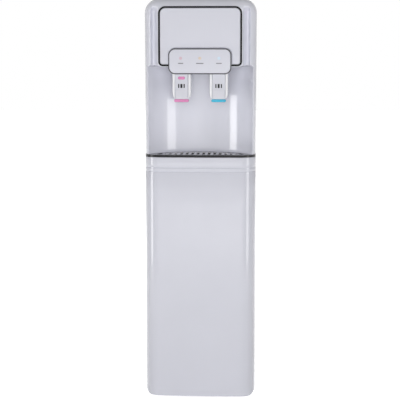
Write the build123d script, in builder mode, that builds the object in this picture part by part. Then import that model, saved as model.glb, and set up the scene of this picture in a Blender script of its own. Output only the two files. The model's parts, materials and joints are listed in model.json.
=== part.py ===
from build123d import *
from math import cos, hypot, radians, sin, sqrt
import os

os.makedirs("parts", exist_ok=True)

# A free-standing hot and cold water purifier. Millimetres, +Z up, the front faces -Y and +X is to the
# right of someone who stands in front of it. The origin is on the floor under the middle of the box.

# Overall size
overall_height = 1090
overall_width = 300
overall_depth = 440
front_plane = -overall_depth / 2
rear_plane = overall_depth / 2

# Levels above the floor: the head and the niche hang from the top, and the lower body takes up the rest
foot_height = 13
head_height = 180.5
niche_height = 234
tray_frame_thickness = 6
head_underside = overall_height - head_height
niche_floor = head_underside - niche_height
split_level = niche_floor - tray_frame_thickness

# Walls, sheets and gaps
moulding_wall = 3
sheet = 1
shelf_sheet = 1.5
seam_gap = 0.5
slide_gap = 0.4
running_gap = 0.06

# Upper housing
display_stand_off = 20
housing_front = front_plane + display_stand_off
housing_taper = 3
housing_base_width = overall_width - housing_taper
moulding_return = 70
seam = housing_front + moulding_return
top_corner_radius = 38
front_edge_radius = 36

# Niche for the cup, and the flutes that carry its hollow on beside the head
niche_depth = 102
niche_rim = 3.5
niche_reach = overall_width / 2 - niche_rim
niche_radius = (niche_reach**2 + niche_depth**2) / (2 * niche_depth)
niche_back = housing_front + niche_depth
niche_centre = niche_back - niche_radius
niche_cove = 8
niche_ceiling_radius = 10
flute_radius = 12
flute_spacing = overall_width - 43
flute_foot_depth = 23
flute_head_depth = 6
flute_top_margin = 28

# Door plate of the head and its black trim
door_side_margin = 38.75
door_width = overall_width - 2 * door_side_margin
door_top_margin = 21
door_bottom_rise = 1.5
door_top_radius = 19
door_bottom_radius = 12
door_trim_width = 4.6
door_trim_proud = 4.5
door_plate_proud = 4
door_seat_depth = 12
face_bevel = 1

# Display
display_width = 167
display_height = 68
display_drop = 19.2
display_radius = 18
display_trim_width = 2.4
display_trim_thickness = 3
display_face_proud = 2.5
lamp_radius = 4
lamp_spacing = 50.5
lamp_rise = 42
display_socket_width = 120
display_socket_height = 32
board_thickness = 1.6

# Lower front panel
panel_front = front_plane + 6
panel_taper = 1.5
panel_width = overall_width - panel_taper
panel_bow = 3
panel_edge_radius = 42
panel_foot_radius = 19
groove_width = 1.2
groove_depth = 0.8
groove_levels = (split_level - 28.5, split_level - 39.5)
panel_rib_thickness = 2
panel_rib_depth = 6
panel_rib_count = 4
panel_travel_clear = 0.5

# Steel body
rear_clearance = 42
body_rear = rear_plane - rear_clearance
side_setback = 0.25
side_half = housing_base_width / 2 - side_setback
side_flange = 12
top_cover_height = 50
side_top = overall_height - top_cover_height
pan_height = 30

# Feet
foot_radius = 17
foot_stem_radius = 5
foot_inset_side = 36.25
foot_inset_front = 44
foot_inset_rear = 34

# Taps
tap_spacing = 99
lever_proud = 5
lever_plate_width = 34
lever_plate_thickness = 3.5
lever_top_gap = 0.6
lever_cheek = 2.5
fork_reach = 7
fork_thickness = 3
fork_gap = 1.6
stem_clearance = 1.2
collar_radius = 6
collar_height = 3
stem_bore_radius = 4.5
stem_seat_rise = 16
stem_seat_height = 6
bonnet_height = 6
lever_slot_height = 11
lever_slot_widths = (1.6, 3.4, 1.6)
lever_slot_pitch = 6.8
pad_width = 39
pad_height = 8
pad_depth = 9
pad_proud = 1
pad_radius = 2.5
pad_drop = 93.5
pad_level = head_underside - pad_drop
pivot_rise = 68
pivot_back = 23
pin_radius = 2
valve_back = 14
valve_radius = 12
valve_drop = 33.5
valve_height = 30
valve_top = head_underside - valve_drop
valve_base = valve_top - valve_height
stem_radius = 3
nozzle_radius = 7
nozzle_length = 14
nozzle_level = valve_base - nozzle_length
shank_radius = 8
shank_level = valve_base + nozzle_length
shank_reach = 12
nut_radius = 13
nut_thickness = 8
cowl_width = 49
cowl_wall = 2.5
cowl_height = 82.5
cowl_bottom = head_underside - cowl_height
cowl_taper = 16
cowl_corner_radius = 10
cowl_depth = 46
cowl_set_back = 2
lock_button_width = 18
lock_button_height = 8
lock_button_drop = 29.5
lock_button_level = head_underside - lock_button_drop
lock_button_radius = 3
lock_button_proud = 1.5
lock_button_lip = 1.5
lever_slot_drop = 50.5
lever_slot_level = head_underside - lever_slot_drop
lever_edge_radius = 1.5
hose_radius = 5
hose_bend = 9
cold_outlet_set_back = 22
hot_outlet_shift = 30
hot_outlet_back = 25

# Drip tray
tray_side_margin = 38
tray_width = overall_width - 2 * tray_side_margin
tray_front_margin = 12
tray_rear_margin = 8
tray_corner_radius = 14
tray_depth = 26
tray_wall = 2
tray_flange = 4
tray_flange_thickness = 2.5
tray_lug = 6
grille_thickness = 3
grille_slot_width = 4
grille_border = 10
grille_slot_count = 16
grille_slot_pitch = (tray_width - 2 * grille_border) / (grille_slot_count + 1)
grille_corner_radius = 20

# Tanks
tank_shelf_drop = 34.5
tank_shelf_level = head_underside - tank_shelf_drop
shelf_flange = 20
cold_tank_height = 150
tank_wall = 1
cold_floor_insulation = 18
cold_front_insulation = 25
cold_side_insulation = 21
cold_block_gap = 29.5
evaporator_thickness = 3
evaporator_height = 90
evaporator_slit = 14
lid_thickness = 4
lid_overlap = 10
hot_tank_radius = 56
hot_tank_height = 140
hot_tank_dome = 12
hot_jacket_wall = 15
hot_jacket_gap = 3
hot_jacket_floor = 12
outlet_radius = 6

# Float and its valve
float_pivot_x = -45
float_pivot_drop = 24
float_arm_length = 80
float_arm_radius = 2
float_radius = 14
float_rest_slope = 25
float_valve_radius = 9
float_pin_radius = 1.5
clevis_reach = 5
clevis_gap = 8
clevis_ear = 2.5
block_corner_radius = 14
thermostat_radius = 8
thermostat_x = 20

# Filters
filter_pitch = 85
filter_radius = 32
filter_length = 284
filter_neck_radius = 20
filter_neck_length = 22
manifold_drop = 71.5
manifold_level = split_level - manifold_drop
manifold_height = 38
manifold_depth = 58
filter_gap = 2
filter_foot_bevel = 6
filter_grip_height = 8
filter_grip_width = 8

# Compressor and refrigeration
compressor_x = 25
compressor_inset_rear = 92
compressor_radius = 60
compressor_height = 155
compressor_base_width = 150
compressor_base_depth = 104
compressor_base_thickness = 2.5
grommet_radius = 11
grommet_height = 16
stub_radius = 4
stub_height = 14
line_radius = 3
tube_sides = 8
line_bend = 16
condenser_stand_off = 22
condenser_tube_radius = 2.4
condenser_pitch = 70
condenser_bend = condenser_pitch / 2 - 1
condenser_passes = 6
condenser_half_width = 92
condenser_base = 420
condenser_wire = 1.5
condenser_wire_count = 10
bracket_size = 12
spacer_x = 118
grommet_span_x = 62
grommet_span_y = 40
compressor_dome = 22
stub_spacing = 50
relay_depth = 30
relay_width = 40
relay_height = 50

# Rear panel and what is on it
rear_panel_margin = 3
vent_width = 190
vent_height = 6
vent_pitch = 15
lower_vent_count = 8
lower_vent_level = 272
upper_vent_count = 3
upper_vent_drop = 36
upper_vent_level = side_top - upper_vent_drop
service_x = -78
service_level = 92
service_width = 96
service_height = 44
service_thickness = 3
service_depth = 16
rocker_radius = 9.5
rocker_width = 12
rocker_pitch = 24
inlet_socket_width = 28
inlet_socket_height = 21
rocker_heel = 6
rocker_waist = 4.5
rocker_set_back = 4
trunnion_radius = 1.5
trunnion_length = 1.8
blade_pitch = 7
blade_rise = 4
blade_thickness = 2
blade_width = 4
fitting_x = 96
fitting_level = 70
fitting_radius = 9
fitting_reach = 24
fitting_bore_radius = 3.2
fitting_bore_length = 14
drain_x = 96
drain_level = 108
drain_radius = 8
drain_reach = 22
drain_bore_radius = 5
drain_cap_radius = 12
drain_cap_length = 16
screw_head_radius = 4.5
screw_head_height = 2.5
screw_shank_radius = 1.9
screw_length = 8
screw_inset = 40
screw_edge = 6

# Control board
control_width = 120
control_height = 140
control_rise = 30
control_level = split_level + control_rise
control_y = 20
stand_off_length = 10

# Places that several pieces share
display_bottom = head_underside - display_drop
display_centre = display_bottom + display_height / 2
display_back = housing_front
display_window_level = head_underside + (display_height - display_drop) / 2
door_top = overall_height - door_top_margin
door_bottom = head_underside + door_bottom_rise
panel_top = split_level - panel_travel_clear
steel_front = seam + seam_gap
lever_front = housing_front - lever_proud
lever_back = lever_front + lever_plate_thickness
pivot_y = lever_front + pivot_back
pivot_z = pad_level + pivot_rise
valve_y = pivot_y + valve_back
fork_level = pivot_z - 1 - fork_thickness
collar_level = fork_level + fork_thickness + fork_gap
shank_end = niche_back + moulding_wall + shank_reach
cold_block_front = niche_back + moulding_wall + cold_block_gap
cold_block_depth = body_rear - moulding_wall - seam_gap - cold_block_front
cold_tank_radius = cold_block_depth / 2 - cold_front_insulation - evaporator_thickness
cold_block_width = 2 * (cold_tank_radius + evaporator_thickness + cold_side_insulation)
tank_y = cold_block_front + cold_block_depth / 2
cold_block_height = cold_floor_insulation + cold_tank_height
compressor_y = body_rear - compressor_inset_rear
discharge_x = compressor_x - stub_spacing / 2
suction_stub_x = compressor_x + stub_spacing / 2
stub_top = foot_height + shelf_sheet + grommet_height + compressor_base_thickness + compressor_height + stub_height
discharge_level = stub_top + 2 * line_bend
condenser_y = body_rear + sheet + condenser_stand_off
bracket_x = condenser_half_width - condenser_bend - bracket_size
rocker_y = body_rear + sheet + service_thickness - rocker_set_back
valve_x = float_pivot_x
float_pivot_z = tank_shelf_level + cold_floor_insulation + cold_tank_height - float_pivot_drop
rear_panel_base = foot_height + rear_panel_margin
rear_panel_top = side_top - rear_panel_margin
rear_panel_half = side_half - rear_panel_margin
screw_span = rear_panel_top - rear_panel_base - 2 * screw_inset
screw_places = [
    (side * (rear_panel_half - screw_edge), rear_panel_base + screw_inset + row * screw_span / 2)
    for side in (-1, 1)
    for row in (0, 1, 2)
]
suction_x = 100
suction_y = 110
cold_outlet_x = tap_spacing / 2
hot_outlet_top = shank_level - 2 * hose_bend
hot_outlet_y = tank_y - hot_outlet_back
tap_places = (-tap_spacing / 2, tap_spacing / 2)
cowl_front = housing_front + cowl_set_back
cold_outlet_y = cold_block_front + cold_outlet_set_back
foot_places = [
    (side * (side_half - foot_inset_side), y)
    for side in (-1, 1)
    for y in (steel_front + foot_inset_front, body_rear - foot_inset_rear)
]


def upper_form(inset, front, back, edge_radius):
    """The outside of the upper body from front to back, drawn in by inset, with its front edge rounded."""
    half_base = housing_base_width / 2 - inset
    half_top = overall_width / 2 - inset
    top = overall_height - inset
    with BuildPart() as form:
        with BuildSketch(Plane.XZ.offset(-front)) as outline:
            with BuildLine():
                Polyline(
                    (-half_base, niche_floor),
                    (-half_top, top),
                    (half_top, top),
                    (half_base, niche_floor),
                    close=True,
                )
            make_face()
            fillet(outline.vertices().group_by(Axis.Y)[-1], radius=top_corner_radius - inset)
        extrude(amount=front - back)
        if edge_radius:
            front_edges = form.faces().sort_by(Axis.Y)[0].edges().sort_by(Axis.Z)[1:]
            fillet(front_edges, radius=edge_radius - inset)
    return form.part


def niche_form(grow):
    """The hollow for the cup: an upright drum. The hollow itself has a cove at its floor and its ceiling."""
    with BuildPart() as form:
        with BuildSketch(Plane.XY.offset(niche_floor - grow)):
            with Locations((0, niche_centre)):
                Circle(niche_radius + grow)
        extrude(amount=head_underside - niche_floor + 2 * grow)
        if not grow:
            fillet(form.edges().group_by(Axis.Z)[0], radius=niche_cove)
            fillet(form.edges().group_by(Axis.Z)[-1], radius=niche_ceiling_radius)
    return form.part


def flute_form(grow):
    """The pair of flutes, deep at the niche and shallow above, or the plain posts round them."""
    flute_base = head_underside - niche_ceiling_radius
    flute_end = overall_height - flute_top_margin - flute_radius
    foot_y = housing_front + flute_foot_depth - flute_radius
    head_y = housing_front + flute_head_depth - flute_radius
    rise = (0, head_y - foot_y, flute_end - flute_base)
    with BuildPart() as form:
        for x in (-flute_spacing / 2, flute_spacing / 2):
            with BuildSketch(Plane(origin=(x, foot_y, flute_base), x_dir=(1, 0, 0), z_dir=rise)):
                if grow:
                    Rectangle(2 * flute_radius + 2 * grow, 2 * flute_radius + 2 * grow)
                else:
                    Circle(flute_radius)
                    with Locations((0, -flute_radius / 2)):
                        Rectangle(2 * flute_radius, flute_radius)
            extrude(amount=hypot(rise[1], rise[2]) + (flute_radius + grow if grow else 0))
            if not grow:
                with Locations((x, head_y, flute_end)):
                    Sphere(flute_radius)
    return form.part


def door_outline(inset):
    """The outline of the head's door plate on the front, drawn in by inset. Call inside a sketch."""
    half = door_width / 2 - inset
    with BuildSketch(mode=Mode.PRIVATE) as outline:
        with BuildLine():
            Polyline(
                (-half, door_bottom + inset),
                (-half, door_top - inset),
                (half, door_top - inset),
                (half, door_bottom + inset),
                close=True,
            )
        make_face()
        fillet(outline.vertices().group_by(Axis.Y)[-1], radius=door_top_radius - inset)
        fillet(outline.vertices().group_by(Axis.Y)[0], radius=door_bottom_radius - inset)
    return outline.sketch


def make_upper_housing():
    """Glossy moulding with the head, the cup niche and the side returns, open at the back and below."""
    with BuildPart() as cavity:
        add(upper_form(moulding_wall, housing_front + moulding_wall, seam + moulding_wall, front_edge_radius))
        add(niche_form(moulding_wall), mode=Mode.SUBTRACT)
        add(flute_form(moulding_wall), mode=Mode.SUBTRACT)
    with BuildPart() as niche_wall:
        add(niche_form(moulding_wall))
        with BuildSketch(Plane.XY.offset(niche_floor)):
            with Locations((0, (seam + niche_back + moulding_wall) / 2)):
                Rectangle(housing_base_width, niche_back + moulding_wall - seam + 2 * moulding_wall)
        extrude(amount=head_underside - niche_floor + moulding_wall, mode=Mode.INTERSECT)
    with BuildPart() as upper_housing:
        add(upper_form(0, housing_front, seam, front_edge_radius))
        with BuildSketch(Plane.XZ.offset(-housing_front)):
            add(door_outline(0))
        extrude(amount=-door_seat_depth)
        add(cavity.part, mode=Mode.SUBTRACT)
        add(niche_wall.part)
        add(niche_form(0), mode=Mode.SUBTRACT)
        add(flute_form(0), mode=Mode.SUBTRACT)
        # Window behind the display
        with BuildSketch(Plane.XZ.offset(-housing_front)):
            with Locations((0, display_window_level)):
                Rectangle(display_socket_width, display_socket_height)
        extrude(amount=-2 * door_seat_depth, mode=Mode.SUBTRACT)
        # Holes for the two tap shanks
        with BuildSketch(Plane.XZ.offset(moulding_return / 2 - niche_back)):
            with Locations((-tap_spacing / 2, shank_level), (tap_spacing / 2, shank_level)):
                Circle(shank_radius + slide_gap)
        extrude(amount=-moulding_return, mode=Mode.SUBTRACT)
    upper_housing.part.label = "upper_housing"
    export_step(upper_housing.part, "parts/upper_housing.step")


def panel_outline(inset):
    """The plan outline of the lower body's front moulding, bowed at the front, drawn in by inset."""
    half = panel_width / 2 - inset
    shoulder = panel_front + panel_bow + inset
    with BuildSketch(mode=Mode.PRIVATE) as outline:
        with BuildLine():
            Line((-half, seam), (-half, shoulder))
            ThreePointArc((-half, shoulder), (0, panel_front + inset), (half, shoulder))
            Line((half, shoulder), (half, seam))
            Line((half, seam), (-half, seam))
        make_face()
        fillet(outline.vertices().group_by(Axis.Y)[0], radius=panel_edge_radius - inset)
    return outline.sketch


def make_door():
    """The plain plate on the head and the black trim round it, both notched for the display."""
    notch_width = display_width + 2 * seam_gap
    notch_height = display_height + 2 * seam_gap
    with BuildPart() as door_trim:
        with BuildSketch(Plane.XZ.offset(-housing_front)):
            add(door_outline(0))
            add(door_outline(door_trim_width), mode=Mode.SUBTRACT)
            with Locations((0, display_centre)):
                RectangleRounded(notch_width, notch_height, display_radius + seam_gap, mode=Mode.SUBTRACT)
        extrude(amount=door_trim_proud)
    with BuildPart() as door_plate:
        with BuildSketch(Plane.XZ.offset(-housing_front)):
            add(door_outline(door_trim_width))
            with Locations((0, display_centre)):
                RectangleRounded(notch_width, notch_height, display_radius + seam_gap, mode=Mode.SUBTRACT)
        extrude(amount=door_plate_proud)
        chamfer(door_plate.faces().sort_by(Axis.Y)[0].edges(), length=face_bevel)
    door_trim.part.label = "door_trim"
    export_step(door_trim.part, "parts/door_trim.step")
    door_plate.part.label = "door_plate"
    export_step(door_plate.part, "parts/door_plate.step")


def make_display():
    """The display: a moulded face with its body, a dark trim round it, three lamps and their board."""
    trim_back = front_plane + display_face_proud + display_trim_thickness
    trim_front = front_plane + display_face_proud
    lamps = [(i * lamp_spacing, display_bottom + lamp_rise) for i in (-1, 0, 1)]
    board_front = housing_front + moulding_wall
    with BuildPart() as display_panel:
        with BuildSketch(Plane.XZ.offset(-trim_back)):
            with Locations((0, display_centre)):
                RectangleRounded(display_width, display_height, display_radius)
        extrude(amount=trim_back - display_back)
        with BuildSketch(Plane.XZ.offset(-trim_back)):
            with Locations((0, display_centre)):
                RectangleRounded(
                    display_width - 2 * display_trim_width,
                    display_height - 2 * display_trim_width,
                    display_radius - display_trim_width,
                )
        extrude(amount=trim_back - front_plane)
        chamfer(display_panel.faces().sort_by(Axis.Y)[0].edges(), length=face_bevel)
        # Hollow behind the face, and a neck through the window of the housing
        with BuildSketch(Plane.XZ.offset(-display_back)):
            with Locations((0, display_centre)):
                RectangleRounded(
                    display_width - 2 * moulding_wall - 2 * display_trim_width,
                    display_height - 2 * moulding_wall - 2 * display_trim_width,
                    display_radius - moulding_wall - display_trim_width,
                )
        extrude(amount=display_back - front_plane - moulding_wall, mode=Mode.SUBTRACT)
        with BuildSketch(Plane.XZ.offset(-front_plane)):
            with Locations(*lamps):
                Circle(lamp_radius)
        extrude(amount=-2 * moulding_wall, mode=Mode.SUBTRACT)
    display_panel.part.label = "display_panel"
    export_step(display_panel.part, "parts/display_panel.step")

    with BuildPart() as display_trim:
        with BuildSketch(Plane.XZ.offset(-trim_back)):
            with Locations((0, display_centre)):
                RectangleRounded(display_width, display_height, display_radius)
                RectangleRounded(
                    display_width - 2 * display_trim_width,
                    display_height - 2 * display_trim_width,
                    display_radius - display_trim_width,
                    mode=Mode.SUBTRACT,
                )
        extrude(amount=trim_back - trim_front)
    display_trim.part.label = "display_trim"
    export_step(display_trim.part, "parts/display_trim.step")

    for name, (x, z) in zip(("hot_lamp", "power_lamp", "cold_lamp"), lamps):
        with BuildPart() as lamp:
            with BuildSketch(Plane.XZ.offset(-front_plane)):
                with Locations((x, z)):
                    Circle(lamp_radius)
            extrude(amount=front_plane - board_front)
        lamp.part.label = name
        export_step(lamp.part, f"parts/{name}.step")

    with BuildPart() as display_board:
        with BuildSketch(Plane.XZ.offset(-board_front)):
            with Locations((0, display_window_level)):
                Rectangle(display_width - 12 * moulding_wall, display_socket_height - 2 * seam_gap)
        extrude(amount=-board_thickness)
    display_board.part.label = "display_board"
    export_step(display_board.part, "parts/display_board.step")


def front_view_outline(inset):
    """The front view of the lower panel, with its two bottom corners rounded, drawn in by inset."""
    half = panel_width / 2 - inset
    with BuildSketch(mode=Mode.PRIVATE) as outline:
        with BuildLine():
            Polyline(
                (-half, foot_height + inset),
                (-half, split_level),
                (half, split_level),
                (half, foot_height + inset),
                close=True,
            )
        make_face()
        fillet(outline.vertices().group_by(Axis.Y)[0], radius=panel_foot_radius - inset)
    return outline.sketch


def lower_form(inset, back):
    """The outside of the lower front moulding from its front to back, drawn in by inset."""
    with BuildPart() as form:
        with BuildSketch(Plane.XY.offset(foot_height)):
            add(panel_outline(inset))
            with Locations((0, (seam + back) / 2)):
                Rectangle(panel_width - 2 * inset, back - seam + seam_gap)
        extrude(amount=panel_top - foot_height)
        with BuildSketch(Plane.XZ.offset(-panel_front)):
            add(front_view_outline(inset))
        extrude(amount=panel_front - back, mode=Mode.INTERSECT)
    return form.part


def make_lower_front_panel():
    """The tall front moulding: open behind and above, two grooves round its top, stiffening ribs inside."""
    rib_step = (groove_levels[1] - foot_height) / (panel_rib_count + 1)
    with BuildPart() as hollow:
        add(lower_form(moulding_wall, seam + moulding_wall))
        for i in range(panel_rib_count):
            with BuildSketch(Plane.XY.offset(foot_height + (i + 1) * rib_step)):
                add(panel_outline(0))
                add(panel_outline(moulding_wall + panel_rib_depth), mode=Mode.SUBTRACT)
            extrude(amount=panel_rib_thickness, mode=Mode.SUBTRACT)
    with BuildPart() as lower_front_panel:
        add(lower_form(0, seam))
        for level in groove_levels:
            with BuildSketch(Plane.XY.offset(level)):
                add(panel_outline(-groove_width))
                add(panel_outline(groove_depth), mode=Mode.SUBTRACT)
            extrude(amount=groove_width, mode=Mode.SUBTRACT)
        add(hollow.part, mode=Mode.SUBTRACT)
    lower_front_panel.part.label = "lower_front_panel"
    export_step(lower_front_panel.part, "parts/lower_front_panel.step")


def tray_outline(grow, corner_radius=tray_corner_radius):
    """The plan outline of the drip tray: straight in front, and rounded behind to follow the niche."""
    front = panel_front + tray_front_margin - grow
    half = tray_width / 2 + grow
    reach = niche_radius - niche_cove - tray_rear_margin + grow
    back = niche_centre + sqrt(reach**2 - half**2)
    with BuildSketch(mode=Mode.PRIVATE) as outline:
        with BuildLine():
            Line((-half, front), (half, front))
            Line((half, front), (half, back))
            ThreePointArc((half, back), (0, niche_centre + reach), (-half, back))
            Line((-half, back), (-half, front))
        make_face()
        fillet(outline.vertices(), radius=corner_radius + grow)
    return outline.sketch


def make_drip_tray():
    """The black frame at the niche floor, the lift-out tray that hangs in it and the slotted grille."""
    frame_back = niche_back + moulding_wall
    with BuildPart() as tray_frame:
        with BuildSketch(Plane.XY.offset(split_level)):
            with Locations((0, niche_centre)):
                Circle(niche_radius + moulding_wall)
            with Locations((0, (seam + frame_back) / 2)):
                Rectangle(panel_width, frame_back - seam, mode=Mode.INTERSECT)
            add(panel_outline(0))
        extrude(amount=tray_frame_thickness)
        with BuildSketch(Plane.XY.offset(split_level)):
            add(tray_outline(slide_gap))
        extrude(amount=tray_frame_thickness, mode=Mode.SUBTRACT)
        with BuildSketch(Plane.XY.offset(niche_floor - tray_flange_thickness)):
            add(tray_outline(tray_flange + slide_gap))
        extrude(amount=tray_flange_thickness, mode=Mode.SUBTRACT)
    tray_frame.part.label = "tray_frame"
    export_step(tray_frame.part, "parts/tray_frame.step")

    tray_base = niche_floor - tray_flange_thickness - tray_depth
    slot_centre = (panel_front + niche_back) / 2
    with BuildPart() as drip_tray:
        with BuildSketch(Plane.XY.offset(tray_base)):
            add(tray_outline(0))
        extrude(amount=tray_depth)
        with BuildSketch(Plane.XY.offset(niche_floor - tray_flange_thickness)):
            add(tray_outline(tray_flange))
        extrude(amount=tray_flange_thickness)
        with BuildSketch(Plane.XY.offset(tray_base + tray_wall)):
            add(tray_outline(-tray_wall))
        extrude(amount=tray_depth + tray_flange_thickness, mode=Mode.SUBTRACT)
        with BuildSketch(Plane.XY.offset(tray_base)):
            with Locations((0, slot_centre)):
                with GridLocations(tray_width / 2, 0, 2, 1):
                    Rectangle(tray_lug, niche_back - panel_front)
            add(tray_outline(0), mode=Mode.INTERSECT)
            add(tray_outline(-tray_wall - tray_lug), mode=Mode.SUBTRACT)
        extrude(amount=tray_depth + tray_flange_thickness - grille_thickness)
    drip_tray.part.label = "drip_tray"
    export_step(drip_tray.part, "parts/drip_tray.step")

    with BuildPart() as drip_grille:
        with BuildSketch(Plane.XY.offset(niche_floor - grille_thickness)):
            add(tray_outline(-tray_wall - slide_gap, grille_corner_radius))
        extrude(amount=grille_thickness)
        with BuildSketch(Plane.XY.offset(niche_floor - grille_thickness)):
            with Locations((0, slot_centre)):
                with GridLocations(grille_slot_pitch, 0, grille_slot_count, 1):
                    Rectangle(grille_slot_width, niche_back - panel_front)
            add(tray_outline(-grille_border, grille_corner_radius), mode=Mode.INTERSECT)
        extrude(amount=grille_thickness, mode=Mode.SUBTRACT)
    drip_grille.part.label = "drip_grille"
    export_step(drip_grille.part, "parts/drip_grille.step")


def make_steel_body():
    """Side panels, base pan with its feet, the two decks that carry the tanks, and the top cover."""
    for name, side in (("left_side_panel", -1), ("right_side_panel", 1)):
        web_x = side * (side_half - sheet / 2)
        flange_x = side * (side_half - side_flange / 2)
        with BuildPart() as side_panel:
            with BuildSketch(Plane.XY.offset(foot_height)):
                with Locations((web_x, (steel_front + body_rear) / 2)):
                    Rectangle(sheet, body_rear - steel_front)
                with Locations((flange_x, steel_front + sheet / 2), (flange_x, body_rear - sheet / 2)):
                    Rectangle(side_flange, sheet)
            extrude(amount=side_top - foot_height)
            with BuildSketch(Plane.XZ.offset(-body_rear)):
                with Locations(*screw_places):
                    Circle(screw_shank_radius)
            extrude(amount=sheet, mode=Mode.SUBTRACT)
        side_panel.part.label = name
        export_step(side_panel.part, f"parts/{name}.step")

    inner_half = side_half - sheet
    inner_front = steel_front + sheet
    inner_rear = body_rear - sheet
    inner_middle = (inner_front + inner_rear) / 2
    with BuildPart() as base_pan:
        with BuildSketch(Plane.XY.offset(foot_height)):
            with Locations((0, inner_middle)):
                Rectangle(2 * inner_half, inner_rear - inner_front)
        extrude(amount=pan_height)
        with BuildSketch(Plane.XY.offset(foot_height + shelf_sheet)):
            with Locations((0, inner_middle)):
                Rectangle(2 * inner_half - 2 * shelf_sheet, inner_rear - inner_front - 2 * shelf_sheet)
        extrude(amount=pan_height, mode=Mode.SUBTRACT)
        with BuildSketch(Plane.XY.offset(foot_height)):
            with Locations(*foot_places):
                Circle(foot_stem_radius)
        extrude(amount=shelf_sheet, mode=Mode.SUBTRACT)
    base_pan.part.label = "base_pan"
    export_step(base_pan.part, "parts/base_pan.step")

    with BuildPart() as feet:
        with BuildSketch() as foot_pads:
            with Locations(*foot_places):
                Circle(foot_radius)
        extrude(amount=foot_height)
        with BuildSketch(Plane.XY.offset(foot_height)):
            with Locations(*foot_places):
                Circle(foot_stem_radius)
        extrude(amount=3 * shelf_sheet)
        chamfer(feet.edges().group_by(Axis.Z)[0], length=2)
    feet.part.label = "feet"
    export_step(feet.part, "parts/feet.step")

    # The main deck carries the tray frame and the hot tank, the tank shelf carries the cold tank
    suction = (suction_x, suction_y)
    for name, level, front, holes in (
        ("main_deck", split_level, inner_front, [suction]),
        ("tank_shelf", tank_shelf_level, cold_block_front, [suction, (cold_outlet_x, cold_outlet_y)]),
    ):
        with BuildPart() as deck:
            with BuildSketch(Plane.XY.offset(level - shelf_sheet)):
                with Locations((0, (front + inner_rear) / 2)):
                    Rectangle(2 * inner_half, inner_rear - front)
            extrude(amount=shelf_sheet)
            with BuildSketch(Plane.XY.offset(level - shelf_flange)):
                flange_x = inner_half - shelf_sheet / 2
                with Locations((-flange_x, (front + inner_rear) / 2), (flange_x, (front + inner_rear) / 2)):
                    Rectangle(shelf_sheet, inner_rear - front)
            extrude(amount=shelf_flange)
            with BuildSketch(Plane.XY.offset(level - shelf_sheet)):
                add(tray_outline(tray_flange))
                with Locations(*holes):
                    Circle(hose_radius + 2 * sheet)
            extrude(amount=shelf_sheet, mode=Mode.SUBTRACT)
        deck.part.label = name
        export_step(deck.part, f"parts/{name}.step")

    with BuildPart() as top_cover:
        add(upper_form(0, steel_front, body_rear, 0))
        add(upper_form(moulding_wall, steel_front - moulding_wall, body_rear - moulding_wall, 0), mode=Mode.SUBTRACT)
        split(bisect_by=Plane.XY.offset(side_top), keep=Keep.TOP)
    top_cover.part.label = "top_cover"
    export_step(top_cover.part, "parts/top_cover.step")


def rounded_block(width, height, x, z, radius, front, depth):
    """A block with a rounded front outline that runs back from the depth called front."""
    with BuildPart() as block:
        with BuildSketch(Plane.XZ.offset(-front)):
            with Locations((x, z)):
                RectangleRounded(width, height, radius)
        extrude(amount=-depth)
    return block.part


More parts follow.
